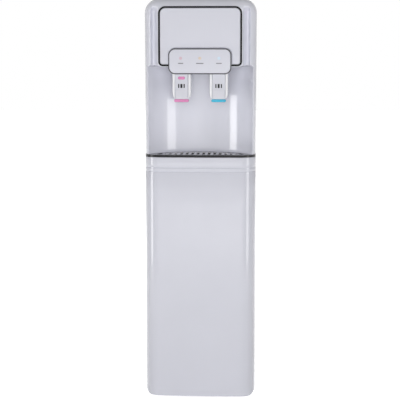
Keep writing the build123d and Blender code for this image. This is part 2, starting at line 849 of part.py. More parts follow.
def make_tap(name, side):
    """One tap: valve body with its shank, the stem in it, the push lever with its pad, and the cowl."""
    x = side * tap_spacing / 2
    lever_top = display_bottom - lever_top_gap
    pad_top = pad_level + pad_height
    cheek_out = lever_plate_width / 2
    cheek_in = cheek_out - lever_cheek
    lug_half = cheek_in - slide_gap
    fork_back = valve_y + fork_reach

    with BuildPart() as lever:
        with BuildSketch(Plane.XZ.offset(-lever_front)):
            with Locations((x, (lever_top + pad_top) / 2)):
                Rectangle(lever_plate_width, lever_top - pad_top)
        extrude(amount=-lever_plate_thickness)
        fillet(lever.faces().sort_by(Axis.Y)[0].edges().filter_by(Axis.Z), radius=lever_edge_radius)
        # Cheeks that carry the pivot, and the fork bar behind it that lifts the stem
        for cheek_x in (x - cheek_out, x + cheek_in):
            with BuildSketch(Plane.YZ.offset(cheek_x)):
                with BuildLine():
                    Polyline(
                        (lever_back, lever_top),
                        (fork_back, lever_top),
                        (fork_back, fork_level),
                        (lever_back, pad_top + 2 * pad_height),
                        close=True,
                    )
                make_face()
            extrude(amount=lever_cheek)
        with BuildSketch(Plane.XY.offset(fork_level)):
            with Locations((x, valve_y)):
                Rectangle(lever_plate_width, 2 * fork_reach)
                Circle(stem_radius + stem_clearance, mode=Mode.SUBTRACT)
        extrude(amount=fork_thickness)
        with BuildSketch(Plane.YZ.offset(x - cheek_out)):
            with Locations((pivot_y, pivot_z)):
                Circle(pin_radius + running_gap)
        extrude(amount=lever_plate_width, mode=Mode.SUBTRACT)
        # Three upright slots in the face
        for i, slot_width in enumerate(lever_slot_widths):
            slot_x = x + (i - 1) * lever_slot_pitch
            with BuildSketch(Plane.XZ.offset(-lever_front)):
                with Locations((slot_x, lever_slot_level)):
                    Rectangle(slot_width, lever_slot_height)
            extrude(amount=-lever_plate_thickness, mode=Mode.SUBTRACT)
        if name == "hot":
            window = rounded_block(
                lock_button_width + 2 * running_gap,
                lock_button_height + 2 * running_gap,
                x,
                lock_button_level,
                lock_button_radius + running_gap,
                lever_front,
                lever_plate_thickness,
            )
            add(window, mode=Mode.SUBTRACT)
    lever.part.label = f"{name}_lever"
    export_step(lever.part, f"parts/{name}_lever.step")

    with BuildPart() as lever_pad:
        pad_z = pad_level + pad_height / 2
        add(rounded_block(pad_width, pad_height, x, pad_z, pad_radius, lever_front - pad_proud, pad_depth))
    lever_pad.part.label = f"{name}_lever_pad"
    export_step(lever_pad.part, f"parts/{name}_lever_pad.step")

    with BuildPart() as tap_body:
        with BuildSketch(Plane.XY.offset(valve_base)):
            with Locations((x, valve_y)):
                Circle(valve_radius)
        extrude(amount=valve_top - valve_base)
        with BuildSketch(Plane.XY.offset(nozzle_level)):
            with Locations((x, valve_y)):
                Circle(nozzle_radius)
        extrude(amount=valve_base - nozzle_level)
        # Lug between the cheeks for the pivot pin, and the shank back through the niche wall
        with BuildSketch(Plane.YZ.offset(x - lug_half)):
            with BuildLine():
                Polyline(
                    (pivot_y - 2 * pin_radius, pivot_z - 4 * pin_radius),
                    (pivot_y - 2 * pin_radius, pivot_z + 2 * pin_radius),
                    (pivot_y + 2 * pin_radius, pivot_z + 2 * pin_radius),
                    (pivot_y + 2 * pin_radius, valve_top),
                    (valve_y, valve_top),
                    (valve_y, valve_top - valve_radius),
                    close=True,
                )
            make_face()
        extrude(amount=2 * lug_half)
        with BuildSketch(Plane.XZ.offset(-valve_y)):
            with Locations((x, shank_level)):
                Circle(shank_radius)
        extrude(amount=valve_y - shank_end)
        # Water ways: the stem's bore with a close bonnet on top, and the bore of the shank
        with BuildSketch(Plane.XY.offset(nozzle_level)):
            with Locations((x, valve_y)):
                Circle(stem_bore_radius)
        extrude(amount=valve_top - bonnet_height - nozzle_level, mode=Mode.SUBTRACT)
        with BuildSketch(Plane.XY.offset(nozzle_level)):
            with Locations((x, valve_y)):
                Circle(stem_radius + running_gap)
        extrude(amount=valve_top - nozzle_level, mode=Mode.SUBTRACT)
        with BuildSketch(Plane.XZ.offset(-valve_y)):
            with Locations((x, shank_level)):
                Circle(stem_bore_radius)
        extrude(amount=valve_y - shank_end, mode=Mode.SUBTRACT)
        with BuildSketch(Plane.YZ.offset(x - cheek_out)):
            with Locations((pivot_y, pivot_z)):
                Circle(pin_radius)
        extrude(amount=lever_plate_width, mode=Mode.SUBTRACT)
    tap_body.part.label = f"{name}_tap_body"
    export_step(tap_body.part, f"parts/{name}_tap_body.step")

    seat_base = nozzle_level + stem_seat_rise
    seat_top = seat_base + stem_seat_height
    with BuildPart() as valve_stem:
        for radius, low, high in (
            (stem_bore_radius - running_gap, seat_base, seat_top),
            (stem_radius, seat_top, collar_level),
            (collar_radius, collar_level, collar_level + collar_height),
        ):
            with BuildSketch(Plane.XY.offset(low)):
                with Locations((x, valve_y)):
                    Circle(radius)
            extrude(amount=high - low)
    valve_stem.part.label = f"{name}_valve_stem"
    export_step(valve_stem.part, f"parts/{name}_valve_stem.step")

    with BuildPart() as tap_cowl:
        with BuildSketch(Plane.XZ.offset(-cowl_front)):
            add(cowl_outline(x, 0))
        extrude(amount=-cowl_depth)
        fillet(tap_cowl.faces().sort_by(Axis.Y)[0].edges().sort_by(Axis.Z)[:-1], radius=cowl_wall)
        with BuildSketch(Plane.XZ.offset(-cowl_front - cowl_wall)):
            add(cowl_outline(x, cowl_wall))
        extrude(amount=-cowl_depth, mode=Mode.SUBTRACT)
        with BuildSketch(Plane.XZ.offset(-cowl_front)):
            with Locations((x, (lever_top + cowl_bottom) / 2)):
                Rectangle(lever_plate_width + 4 * slide_gap, lever_top - cowl_bottom + 4 * slide_gap)
        extrude(amount=-2 * cowl_wall, mode=Mode.SUBTRACT)
    tap_cowl.part.label = f"{name}_tap_cowl"
    export_step(tap_cowl.part, f"parts/{name}_tap_cowl.step")


def cowl_outline(x, inset):
    """The front view of a tap's cowl: upright sides that draw in to the pad's width at the open foot."""
    half = cowl_width / 2 - inset
    foot_half = pad_width / 2 - inset
    with BuildSketch(mode=Mode.PRIVATE) as outline:
        with BuildLine():
            Polyline(
                (x - half, head_underside),
                (x - half, cowl_bottom + cowl_taper),
                (x - foot_half, cowl_bottom),
                (x + foot_half, cowl_bottom),
                (x + half, cowl_bottom + cowl_taper),
                (x + half, head_underside),
                close=True,
            )
        make_face()
        fillet(outline.vertices().group_by(Axis.Y)[1], radius=cowl_corner_radius)
    return outline.sketch


def make_tap_hardware():
    """The lever pins, the shank nuts that seat on the round niche wall, the lock button and the hoses."""
    with BuildPart() as lever_pins:
        for x in tap_places:
            with BuildSketch(Plane.YZ.offset(x - lever_plate_width / 2)):
                with Locations((pivot_y, pivot_z)):
                    Circle(pin_radius)
            extrude(amount=lever_plate_width)
    lever_pins.part.label = "lever_pins"
    export_step(lever_pins.part, "parts/lever_pins.step")

    nut_back = niche_back + moulding_wall + nut_thickness / 2
    with BuildPart() as shank_nuts:
        with BuildSketch(Plane.XZ.offset(-nut_back)):
            with Locations((tap_places[0], shank_level), (tap_places[1], shank_level)):
                RegularPolygon(nut_radius, 6)
                Circle(shank_radius, mode=Mode.SUBTRACT)
        extrude(amount=2 * nut_thickness)
        with BuildSketch(Plane.XY.offset(shank_level - nut_radius)):
            with Locations((0, niche_centre)):
                Circle(niche_radius + moulding_wall)
        extrude(amount=2 * nut_radius, mode=Mode.SUBTRACT)
    shank_nuts.part.label = "shank_nuts"
    export_step(shank_nuts.part, "parts/shank_nuts.step")

    button_front = lever_front - lock_button_proud
    lip_width = lock_button_width + 2 * lock_button_lip
    lip_height = lock_button_height + 2 * lock_button_lip
    x, z, radius = tap_places[0], lock_button_level, lock_button_radius
    button_depth = lever_back - button_front
    with BuildPart() as hot_lock_button:
        add(rounded_block(lock_button_width, lock_button_height, x, z, radius, button_front, button_depth))
        add(rounded_block(lip_width, lip_height, x, z, radius, lever_back, lock_button_lip))
    hot_lock_button.part.label = "hot_lock_button"
    export_step(hot_lock_button.part, "parts/hot_lock_button.step")

    shelf_base = tank_shelf_level - shelf_sheet
    routes = (
        (
            (cold_outlet_x, shank_end, shank_level),
            (cold_outlet_x, cold_outlet_y, shank_level),
            (cold_outlet_x, cold_outlet_y, shelf_base + shelf_sheet),
        ),
        (
            (-cold_outlet_x, shank_end, shank_level),
            (-cold_outlet_x, hot_outlet_y, shank_level),
            (-cold_outlet_x + hot_outlet_shift, hot_outlet_y, shank_level),
            (-cold_outlet_x + hot_outlet_shift, hot_outlet_y, hot_outlet_top),
        ),
    )
    with BuildPart() as tap_hoses:
        for route in routes:
            with BuildLine():
                hose_line = FilletPolyline(*route, radius=hose_bend)
            with BuildSketch(Plane(origin=hose_line @ 0, z_dir=hose_line % 0)):
                RegularPolygon(hose_radius, tube_sides)
            sweep()
    tap_hoses.part.label = "tap_hoses"
    export_step(tap_hoses.part, "parts/tap_hoses.step")


def make_cold_tank():
    """The cold tank in its insulating block, the evaporator wrapped round it, its lid and the float valve."""
    block_top = tank_shelf_level + cold_block_height
    tank_base = tank_shelf_level + cold_floor_insulation
    bore_radius = cold_tank_radius + evaporator_thickness + slide_gap
    with BuildPart() as cold_tank_insulation:
        with BuildSketch(Plane.XY.offset(tank_shelf_level)):
            with Locations((0, tank_y)):
                RectangleRounded(cold_block_width, cold_block_depth, block_corner_radius)
        extrude(amount=cold_block_height)
        with BuildSketch(Plane.XY.offset(tank_base)):
            with Locations((0, tank_y)):
                Circle(bore_radius)
        extrude(amount=cold_tank_height, mode=Mode.SUBTRACT)
    cold_tank_insulation.part.label = "cold_tank_insulation"
    export_step(cold_tank_insulation.part, "parts/cold_tank_insulation.step")

    with BuildPart() as cold_tank:
        with BuildSketch(Plane.XY.offset(tank_base)):
            with Locations((0, tank_y)):
                Circle(cold_tank_radius)
        extrude(amount=cold_tank_height)
        with BuildSketch(Plane.XY.offset(tank_base + tank_wall)):
            with Locations((0, tank_y)):
                Circle(cold_tank_radius - tank_wall)
        extrude(amount=cold_tank_height, mode=Mode.SUBTRACT)
    cold_tank.part.label = "cold_tank"
    export_step(cold_tank.part, "parts/cold_tank.step")

    with BuildPart() as evaporator:
        with BuildSketch(Plane.XY.offset(tank_base + cold_floor_insulation)):
            with Locations((0, tank_y)):
                Circle(cold_tank_radius + evaporator_thickness)
                Circle(cold_tank_radius, mode=Mode.SUBTRACT)
            with Locations((0, tank_y + cold_tank_radius)):
                Rectangle(evaporator_slit, cold_tank_radius, mode=Mode.SUBTRACT)
        extrude(amount=evaporator_height)
    evaporator.part.label = "evaporator"
    export_step(evaporator.part, "parts/evaporator.step")

    with BuildPart() as cold_tank_lid:
        with BuildSketch(Plane.XY.offset(block_top)):
            with Locations((0, tank_y)):
                Circle(bore_radius + lid_overlap)
        extrude(amount=lid_thickness)
        with BuildSketch(Plane.XY.offset(block_top)):
            with Locations((valve_x, tank_y)):
                Circle(float_valve_radius + slide_gap)
        extrude(amount=lid_thickness, mode=Mode.SUBTRACT)
        with BuildSketch(Plane.XY.offset(block_top - lid_overlap)):
            with Locations((0, tank_y)):
                Circle(cold_tank_radius - tank_wall - slide_gap)
                Circle(cold_tank_radius - tank_wall - slide_gap - lid_thickness, mode=Mode.SUBTRACT)
        extrude(amount=lid_overlap)
    cold_tank_lid.part.label = "cold_tank_lid"
    export_step(cold_tank_lid.part, "parts/cold_tank_lid.step")

    # The valve hangs through the lid, with a clevis whose pin carries the float's arm
    with BuildPart() as float_valve:
        with BuildSketch(Plane.XY.offset(block_top + lid_thickness)):
            with Locations((valve_x, tank_y)):
                Circle(float_valve_radius + lid_thickness)
        extrude(amount=lid_thickness)
        with BuildSketch(Plane.XY.offset(float_pivot_z + clevis_reach)):
            with Locations((valve_x, tank_y)):
                Circle(float_valve_radius)
        extrude(amount=block_top + lid_thickness - float_pivot_z - clevis_reach)
        with BuildSketch(Plane.XY.offset(float_pivot_z - clevis_reach)):
            for ear in (-1, 1):
                with Locations((valve_x, tank_y + ear * (clevis_gap + clevis_ear) / 2)):
                    Rectangle(2 * clevis_reach, clevis_ear)
        extrude(amount=2 * clevis_reach)
        with BuildSketch(Plane.XZ.offset(-tank_y)):
            with Locations((valve_x, float_pivot_z)):
                Circle(float_pin_radius + running_gap)
        extrude(amount=clevis_gap, both=True, mode=Mode.SUBTRACT)
    float_valve.part.label = "float_valve"
    export_step(float_valve.part, "parts/float_valve.step")

    arm_end_x = valve_x + float_arm_length * cos(radians(float_rest_slope))
    arm_end_z = float_pivot_z - float_arm_length * sin(radians(float_rest_slope))
    arm_plane = Plane(
        origin=(valve_x, tank_y, float_pivot_z),
        z_dir=(arm_end_x - valve_x, 0, arm_end_z - float_pivot_z),
    )
    with BuildPart() as float_arm:
        with BuildSketch(arm_plane):
            Circle(float_arm_radius)
        extrude(amount=float_arm_length)
        with BuildSketch(Plane.XZ.offset(-tank_y)):
            with Locations((arm_end_x, arm_end_z)):
                Circle(float_radius)
        extrude(amount=float_radius, both=True)
        with BuildSketch(Plane.XZ.offset(-tank_y)):
            with Locations((valve_x, float_pivot_z)):
                Circle(2 * float_pin_radius)
        extrude(amount=clevis_gap / 2 - slide_gap, both=True)
        with BuildSketch(Plane.XZ.offset(-tank_y)):
            with Locations((valve_x, float_pivot_z)):
                Circle(float_pin_radius)
        extrude(amount=clevis_gap / 2 + clevis_ear, both=True)
    float_arm.part.label = "float_arm"
    export_step(float_arm.part, "parts/float_arm.step")


def make_hot_tank():
    """The hot tank with its outlet and two thermostats, standing in a cup of insulation."""
    tank_base = split_level + hot_jacket_floor
    jacket_inner = hot_tank_radius + hot_jacket_gap
    with BuildPart() as hot_tank_jacket:
        with BuildSketch(Plane.XY.offset(split_level)):
            with Locations((0, tank_y)):
                Circle(jacket_inner + hot_jacket_wall)
        extrude(amount=hot_jacket_floor + hot_tank_height)
        with BuildSketch(Plane.XY.offset(tank_base)):
            with Locations((0, tank_y)):
                Circle(jacket_inner)
        extrude(amount=hot_tank_height, mode=Mode.SUBTRACT)
    hot_tank_jacket.part.label = "hot_tank_jacket"
    export_step(hot_tank_jacket.part, "parts/hot_tank_jacket.step")

    with BuildPart() as hot_tank:
        with BuildSketch(Plane.XY.offset(tank_base)):
            with Locations((0, tank_y)):
                Circle(hot_tank_radius)
        extrude(amount=hot_tank_height)
        chamfer(hot_tank.edges().group_by(Axis.Z)[-1], length=hot_tank_dome)
        with BuildSketch(Plane.XY.offset(tank_base + hot_tank_height)):
            with Locations((-cold_outlet_x + hot_outlet_shift, hot_outlet_y)):
                Circle(outlet_radius)
        extrude(amount=hot_outlet_top - tank_base - hot_tank_height)
        # Two thermostats clipped on the lid
        with BuildSketch(Plane.XY.offset(tank_base + hot_tank_height)):
            with Locations((thermostat_x, tank_y), (thermostat_x, tank_y + 3 * thermostat_radius)):
                Circle(thermostat_radius)
        extrude(amount=thermostat_radius)
    hot_tank.part.label = "hot_tank"
    export_step(hot_tank.part, "parts/hot_tank.step")


def make_filters():
    """The manifold with three sockets and the three cartridges whose necks turn in them."""
    manifold_front = steel_front - manifold_depth
    filter_y = steel_front - manifold_depth / 2
    neck_radius = filter_neck_radius - running_gap
    shoulder = manifold_level - filter_gap
    places = [(i * filter_pitch, filter_y) for i in (-1, 0, 1)]
    with BuildPart() as filter_manifold:
        with BuildSketch(Plane.XY.offset(manifold_level)):
            with Locations((0, filter_y)):
                Rectangle(2 * (side_half - side_flange / 2), manifold_depth)
            with Locations((0, manifold_front)):
                Rectangle(
                    2 * (side_half - side_flange / 2) - 4 * manifold_height,
                    manifold_depth / 4,
                    mode=Mode.SUBTRACT,
                )
        extrude(amount=manifold_height)
        with BuildSketch(Plane.XY.offset(manifold_level)):
            with Locations(*places):
                Circle(filter_neck_radius)
        extrude(amount=filter_neck_length, mode=Mode.SUBTRACT)
    filter_manifold.part.label = "filter_manifold"
    export_step(filter_manifold.part, "parts/filter_manifold.step")

    for name, place in zip(("sediment_filter", "carbon_filter", "membrane_filter"), places):
        with BuildPart() as cartridge:
            with BuildSketch(Plane.XY.offset(shoulder - filter_length)):
                with Locations(place):
                    Circle(filter_radius)
            extrude(amount=filter_length)
            chamfer(cartridge.edges().group_by(Axis.Z)[0], length=filter_foot_bevel)
            chamfer(cartridge.edges().group_by(Axis.Z)[-1], length=filter_foot_bevel / 2)
            with BuildSketch(Plane.XY.offset(shoulder)):
                with Locations(place):
                    Circle(neck_radius)
            extrude(amount=filter_neck_length)
            # Grip across the foot
            with BuildSketch(Plane.XY.offset(shoulder - filter_length - filter_grip_height)):
                with Locations(place):
                    Rectangle(filter_radius, filter_grip_width)
            extrude(amount=filter_grip_height)
        cartridge.part.label = name
        export_step(cartridge.part, f"parts/{name}.step")


def make_refrigeration():
    """The compressor on its grommets, the copper lines, and the wire condenser on the back."""
    floor = foot_height + shelf_sheet
    plate_level = floor + grommet_height
    shell_base = plate_level + compressor_base_thickness
    grommet_places = [
        (compressor_x + sx * grommet_span_x, compressor_y + sy * grommet_span_y)
        for sx in (-1, 1)
        for sy in (-1, 1)
    ]
    with BuildPart() as compressor:
        with BuildSketch(Plane.XY.offset(plate_level)):
            with Locations((compressor_x, compressor_y)):
                RectangleRounded(compressor_base_width, compressor_base_depth, grommet_radius)
        extrude(amount=compressor_base_thickness)
        with BuildSketch(Plane.XY.offset(shell_base)):
            with Locations((compressor_x, compressor_y)):
                Circle(compressor_radius)
        extrude(amount=compressor_height)
        chamfer(compressor.edges().group_by(Axis.Z)[-1], length=compressor_dome)
        with BuildSketch(Plane.XY.offset(shell_base + compressor_height - stub_height)):
            with Locations((discharge_x, compressor_y), (suction_stub_x, compressor_y)):
                Circle(stub_radius)
        extrude(amount=2 * stub_height)
        # Relay box on the side of the shell
        with BuildSketch(Plane.XY.offset(shell_base + compressor_height / 3)):
            with Locations((compressor_x - compressor_radius, compressor_y)):
                Rectangle(relay_depth, relay_width)
        extrude(amount=relay_height)
    compressor.part.label = "compressor"
    export_step(compressor.part, "parts/compressor.step")

    with BuildPart() as compressor_grommets:
        with BuildSketch(Plane.XY.offset(floor)):
            with Locations(*grommet_places):
                Circle(grommet_radius)
        extrude(amount=grommet_height)
    compressor_grommets.part.label = "compressor_grommets"
    export_step(compressor_grommets.part, "parts/compressor_grommets.step")

    routes = (
        (
            (discharge_x, compressor_y, stub_top),
            (discharge_x, compressor_y, discharge_level),
            (discharge_x, condenser_y, discharge_level),
            (discharge_x, condenser_y, discharge_level + 2 * line_bend),
        ),
        (
            (suction_stub_x, compressor_y, stub_top),
            (suction_stub_x, compressor_y, discharge_level),
            (suction_x, suction_y, discharge_level + 3 * line_bend),
            (suction_x, suction_y, tank_shelf_level),
        ),
    )
    with BuildPart() as refrigerant_lines:
        for route in routes:
            with BuildLine():
                copper_line = FilletPolyline(*route, radius=line_bend)
            with BuildSketch(Plane(origin=copper_line @ 0, z_dir=copper_line % 0)):
                RegularPolygon(line_radius, tube_sides)
            sweep()
    refrigerant_lines.part.label = "refrigerant_lines"
    export_step(refrigerant_lines.part, "parts/refrigerant_lines.step")

    corners = [(discharge_x, discharge_level + 2 * line_bend)]
    for i in range(condenser_passes):
        level = condenser_base + i * condenser_pitch
        ends = (-condenser_half_width, condenser_half_width)
        if i % 2:
            ends = ends[::-1]
        corners += [(ends[0], level), (ends[1], level)]
    corners[1] = (discharge_x, condenser_base)
    with BuildPart() as condenser:
        with BuildLine(Plane.XZ.offset(-condenser_y)):
            serpentine = FilletPolyline(*corners, radius=condenser_bend)
        with BuildSketch(Plane(origin=serpentine @ 0, z_dir=serpentine % 0)):
            RegularPolygon(condenser_tube_radius, tube_sides)
        sweep()
        wire_height = (condenser_passes - 1) * condenser_pitch + 4 * condenser_tube_radius
        wire_step = 2 * condenser_half_width / (condenser_wire_count + 1)
        with BuildSketch(Plane.XY.offset(condenser_base - 2 * condenser_tube_radius)):
            with Locations((0, condenser_y + condenser_tube_radius + condenser_wire / 2)):
                with GridLocations(wire_step, 0, condenser_wire_count, 1):
                    Rectangle(condenser_wire, condenser_wire)
        extrude(amount=wire_height)
    condenser.part.label = "condenser"
    export_step(condenser.part, "parts/condenser.step")

    bracket_front = body_rear + sheet
    bracket_levels = (condenser_base, condenser_base + (condenser_passes - 1) * condenser_pitch)
    with BuildPart() as condenser_brackets:
        # A bar on the panel carries a saddle for the tube and, outside the bends, a spacer for the wall
        for half_width, centre, end in (
            ((spacer_x - bracket_x + bracket_size) / 2, (spacer_x + bracket_x) / 2, bracket_front + bracket_size),
            (bracket_size / 2, bracket_x, condenser_y),
            (bracket_size / 2, spacer_x, rear_plane),
        ):
            with BuildSketch(Plane.XZ.offset(-bracket_front)):
                for level in bracket_levels:
                    with Locations((-centre, level), (centre, level)):
                        Rectangle(2 * half_width, bracket_size)
            extrude(amount=bracket_front - end)
        for level in bracket_levels:
            with BuildSketch(Plane.YZ.offset(-condenser_half_width)):
                with Locations((condenser_y, level)):
                    Circle(condenser_tube_radius + running_gap)
            extrude(amount=2 * condenser_half_width, mode=Mode.SUBTRACT)
    condenser_brackets.part.label = "condenser_brackets"
    export_step(condenser_brackets.part, "parts/condenser_brackets.step")


def make_rear():
    """The vented rear panel, its screws, and the fittings, switches and power inlet on it."""
    with BuildPart() as rear_panel:
        with BuildSketch(Plane.XZ.offset(-body_rear)):
            with Locations((0, (rear_panel_base + rear_panel_top) / 2)):
                Rectangle(2 * rear_panel_half, rear_panel_top - rear_panel_base)
        extrude(amount=-sheet)
        with BuildSketch(Plane.XZ.offset(-body_rear)):
            for base, count in ((lower_vent_level, lower_vent_count), (upper_vent_level, upper_vent_count)):
                for i in range(count):
                    with Locations((0, base + i * vent_pitch)):
                        Rectangle(vent_width, vent_height)
            with Locations((service_x, service_level)):
                Rectangle(service_width - 2 * service_thickness, service_height - 2 * service_thickness)
            with Locations((fitting_x, fitting_level)):
                Circle(fitting_radius - service_thickness)
            with Locations((drain_x, drain_level)):
                Circle(drain_radius)
            with Locations((discharge_x, discharge_level)):
                Circle(2 * line_radius)
            with Locations(*screw_places):
                Circle(screw_shank_radius)
        extrude(amount=-sheet, mode=Mode.SUBTRACT)
    rear_panel.part.label = "rear_panel"
    export_step(rear_panel.part, "parts/rear_panel.step")

    outer = body_rear + sheet
    with BuildPart() as rear_screws:
        with BuildSketch(Plane.XZ.offset(-outer)):
            with Locations(*screw_places):
                RegularPolygon(screw_head_radius, 6)
        extrude(amount=-screw_head_height)
        with BuildSketch(Plane.XZ.offset(-outer)):
            with Locations(*screw_places):
                Circle(screw_shank_radius - running_gap)
        extrude(amount=screw_length)
    rear_screws.part.label = "rear_screws"
    export_step(rear_screws.part, "parts/rear_screws.step")

    inset = service_thickness + slide_gap
    service_back = outer + service_thickness - service_depth
    rocker_x = service_x - service_width / 2 + rocker_pitch
    rocker_places = [rocker_x - rocker_pitch / 4, rocker_x + 3 * rocker_pitch / 4]
    socket_x = service_x + service_width / 2 - inlet_socket_width / 2 - 2 * service_thickness
    with BuildPart() as service_panel:
        with BuildSketch(Plane.XZ.offset(-outer)):
            with Locations((service_x, service_level)):
                RectangleRounded(service_width, service_height, service_thickness)
        extrude(amount=-service_thickness)
        with BuildSketch(Plane.XZ.offset(-service_back)):
            with Locations((service_x, service_level)):
                Rectangle(service_width - 2 * inset, service_height - 2 * inset)
        extrude(amount=service_back - outer)
        with BuildSketch(Plane.XZ.offset(-service_back - sheet)):
            with Locations(*[(x, service_level) for x in rocker_places]):
                Rectangle(rocker_width + 2 * slide_gap, 2 * rocker_radius + 2 * slide_gap)
            with Locations((socket_x, service_level)):
                Rectangle(inlet_socket_width, inlet_socket_height)
        extrude(amount=-service_depth, mode=Mode.SUBTRACT)
        # Three blades in the power inlet
        with BuildSketch(Plane.XZ.offset(-service_back - sheet)):
            blade_places = [(socket_x + i * blade_pitch, service_level + (i == 0) * blade_rise) for i in (-1, 0, 1)]
            with Locations(*blade_places):
                Rectangle(blade_thickness, blade_width)
        extrude(amount=-service_depth + 2 * service_thickness)
        # Holes for the rockers' trunnions
        with BuildSketch(Plane.YZ.offset(rocker_places[0] - rocker_width)):
            with Locations((rocker_y, service_level)):
                Circle(trunnion_radius + running_gap)
        trunnion_run = rocker_places[1] - rocker_places[0] + 2 * rocker_width
        extrude(amount=trunnion_run, mode=Mode.SUBTRACT)
    service_panel.part.label = "service_panel"
    export_step(service_panel.part, "parts/service_panel.step")

    for name, x in zip(("hot_switch", "cold_switch"), rocker_places):
        with BuildPart() as rocker:
            with BuildSketch(Plane.YZ.offset(x - rocker_width / 2)):
                with Locations((rocker_y, service_level)):
                    Circle(rocker_radius)
                with BuildLine():
                    Polyline(
                        (rocker_y - rocker_heel, service_level - rocker_radius),
                        (rocker_y + rocker_heel, service_level - rocker_radius),
                        (rocker_y + rocker_waist, service_level),
                        (rocker_y + rocker_radius, service_level + rocker_heel),
                        (rocker_y + rocker_heel, service_level + rocker_radius),
                        (rocker_y - rocker_heel, service_level + rocker_radius),
                        close=True,
                    )
                make_face(mode=Mode.INTERSECT)
            extrude(amount=rocker_width)
            with BuildSketch(Plane.YZ.offset(x - rocker_width / 2 - trunnion_length)):
                with Locations((rocker_y, service_level)):
                    Circle(trunnion_radius)
            extrude(amount=rocker_width + 2 * trunnion_length)
        rocker.part.label = name
        export_step(rocker.part, f"parts/{name}.step")

    with BuildPart() as inlet_fitting:
        with BuildSketch(Plane.XZ.offset(-outer)):
            with Locations((fitting_x, fitting_level)):
                Circle(fitting_radius)
        extrude(amount=-fitting_reach)
        with BuildSketch(Plane.XZ.offset(-outer)):
            with Locations((fitting_x, fitting_level)):
                Circle(fitting_radius - service_thickness)
        extrude(amount=fitting_reach / 2)
        with BuildSketch(Plane.XZ.offset(-outer - fitting_reach)):
            with Locations((fitting_x, fitting_level)):
                Circle(fitting_bore_radius)
        extrude(amount=fitting_bore_length, mode=Mode.SUBTRACT)
    inlet_fitting.part.label = "inlet_fitting"
    export_step(inlet_fitting.part, "parts/inlet_fitting.step")

    spout_end = outer + drain_reach
    with BuildPart() as drain_spout:
        with BuildSketch(Plane.XZ.offset(-spout_end)):
            with Locations((drain_x, drain_level)):
                Circle(drain_radius - running_gap)
        extrude(amount=drain_reach + fitting_reach / 2)
        with BuildSketch(Plane.XZ.offset(-spout_end)):
            with Locations((drain_x, drain_level)):
                Circle(drain_bore_radius)
        extrude(amount=drain_reach + fitting_reach / 4, mode=Mode.SUBTRACT)
    drain_spout.part.label = "drain_spout"
    export_step(drain_spout.part, "parts/drain_spout.step")

    cap_wall = service_thickness
    with BuildPart() as drain_cap:
        with BuildSketch(Plane.XZ.offset(-spout_end - cap_wall)):
            with Locations((drain_x, drain_level)):
                RegularPolygon(drain_cap_radius, 10)
        extrude(amount=drain_cap_length)
        with BuildSketch(Plane.XZ.offset(-spout_end - slide_gap)):
            with Locations((drain_x, drain_level)):
                Circle(drain_radius)
        extrude(amount=drain_cap_length, mode=Mode.SUBTRACT)
    drain_cap.part.label = "drain_cap"
    export_step(drain_cap.part, "parts/drain_cap.step")


def make_control_board():
    """The control board on four stand-offs from the right side panel, with its larger components."""
    board_outer = side_half - sheet - stand_off_length
    board_inner = board_outer - board_thickness
    board_z = control_level + control_height / 2
    with BuildPart() as control_board:
        with BuildSketch(Plane.YZ.offset(board_inner)):
            with Locations((control_y, board_z)):
                Rectangle(control_width, control_height)
        extrude(amount=board_thickness)
        with BuildSketch(Plane.YZ.offset(board_outer)):
            with Locations((control_y, board_z)):
                with GridLocations(control_width - stand_off_length, control_height - stand_off_length, 2, 2):
                    Rectangle(stand_off_length / 2, stand_off_length / 2)
        extrude(amount=stand_off_length)
        with BuildSketch(Plane.YZ.offset(board_inner)):
            with Locations((control_y - control_width / 4, board_z - control_height / 4)):
                Rectangle(control_width / 3, control_height / 4)
            with Locations((control_y + control_width / 5, board_z + control_height / 5)):
                with GridLocations(control_width / 4, control_height / 6, 2, 2):
                    Rectangle(control_width / 6, control_height / 10)
        extrude(amount=-2 * stand_off_length)
    control_board.part.label = "control_board"
    export_step(control_board.part, "parts/control_board.step")


make_upper_housing()
make_door()
make_display()
make_lower_front_panel()
make_drip_tray()
make_steel_body()
make_tap("hot", -1)
make_tap("cold", 1)
make_tap_hardware()
make_cold_tank()
make_hot_tank()
make_filters()
make_refrigeration()
make_rear()
make_control_board()
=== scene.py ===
import json
from math import atan2, cos, hypot, pi, radians, sin, sqrt, tan

import bmesh
import bpy
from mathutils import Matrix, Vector


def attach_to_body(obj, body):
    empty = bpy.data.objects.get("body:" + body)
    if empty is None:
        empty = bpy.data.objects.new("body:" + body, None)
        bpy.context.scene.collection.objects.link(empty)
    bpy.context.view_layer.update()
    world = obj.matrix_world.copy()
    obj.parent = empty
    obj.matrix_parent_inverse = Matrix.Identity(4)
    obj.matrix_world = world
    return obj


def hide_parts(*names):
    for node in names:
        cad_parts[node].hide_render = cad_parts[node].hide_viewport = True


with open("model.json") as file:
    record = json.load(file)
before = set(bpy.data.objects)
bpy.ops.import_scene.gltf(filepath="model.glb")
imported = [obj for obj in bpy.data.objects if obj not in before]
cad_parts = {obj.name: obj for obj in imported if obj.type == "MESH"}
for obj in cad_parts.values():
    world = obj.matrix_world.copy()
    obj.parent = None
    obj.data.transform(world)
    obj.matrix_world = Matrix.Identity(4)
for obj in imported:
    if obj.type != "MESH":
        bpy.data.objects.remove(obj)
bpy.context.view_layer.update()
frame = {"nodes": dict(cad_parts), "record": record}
nodes = frame["nodes"]
scene = bpy.context.scene
scene.view_settings.view_transform = "Standard"

# The view: a long lens, a little to the right of the object, tilted down by radians
IMAGE_SIZE = 400
FOCAL_PX = 1133.0
CAMERA_PLACE = (0.150, -3.220, 0.950)
AIM_PLACE = (0.0, -0.220)
DOWN_TILT = 0.1164
MIDDLE_ROW = 184.0
SIDE_SHIFT_PX = 0.28
SENSOR_MM = 36


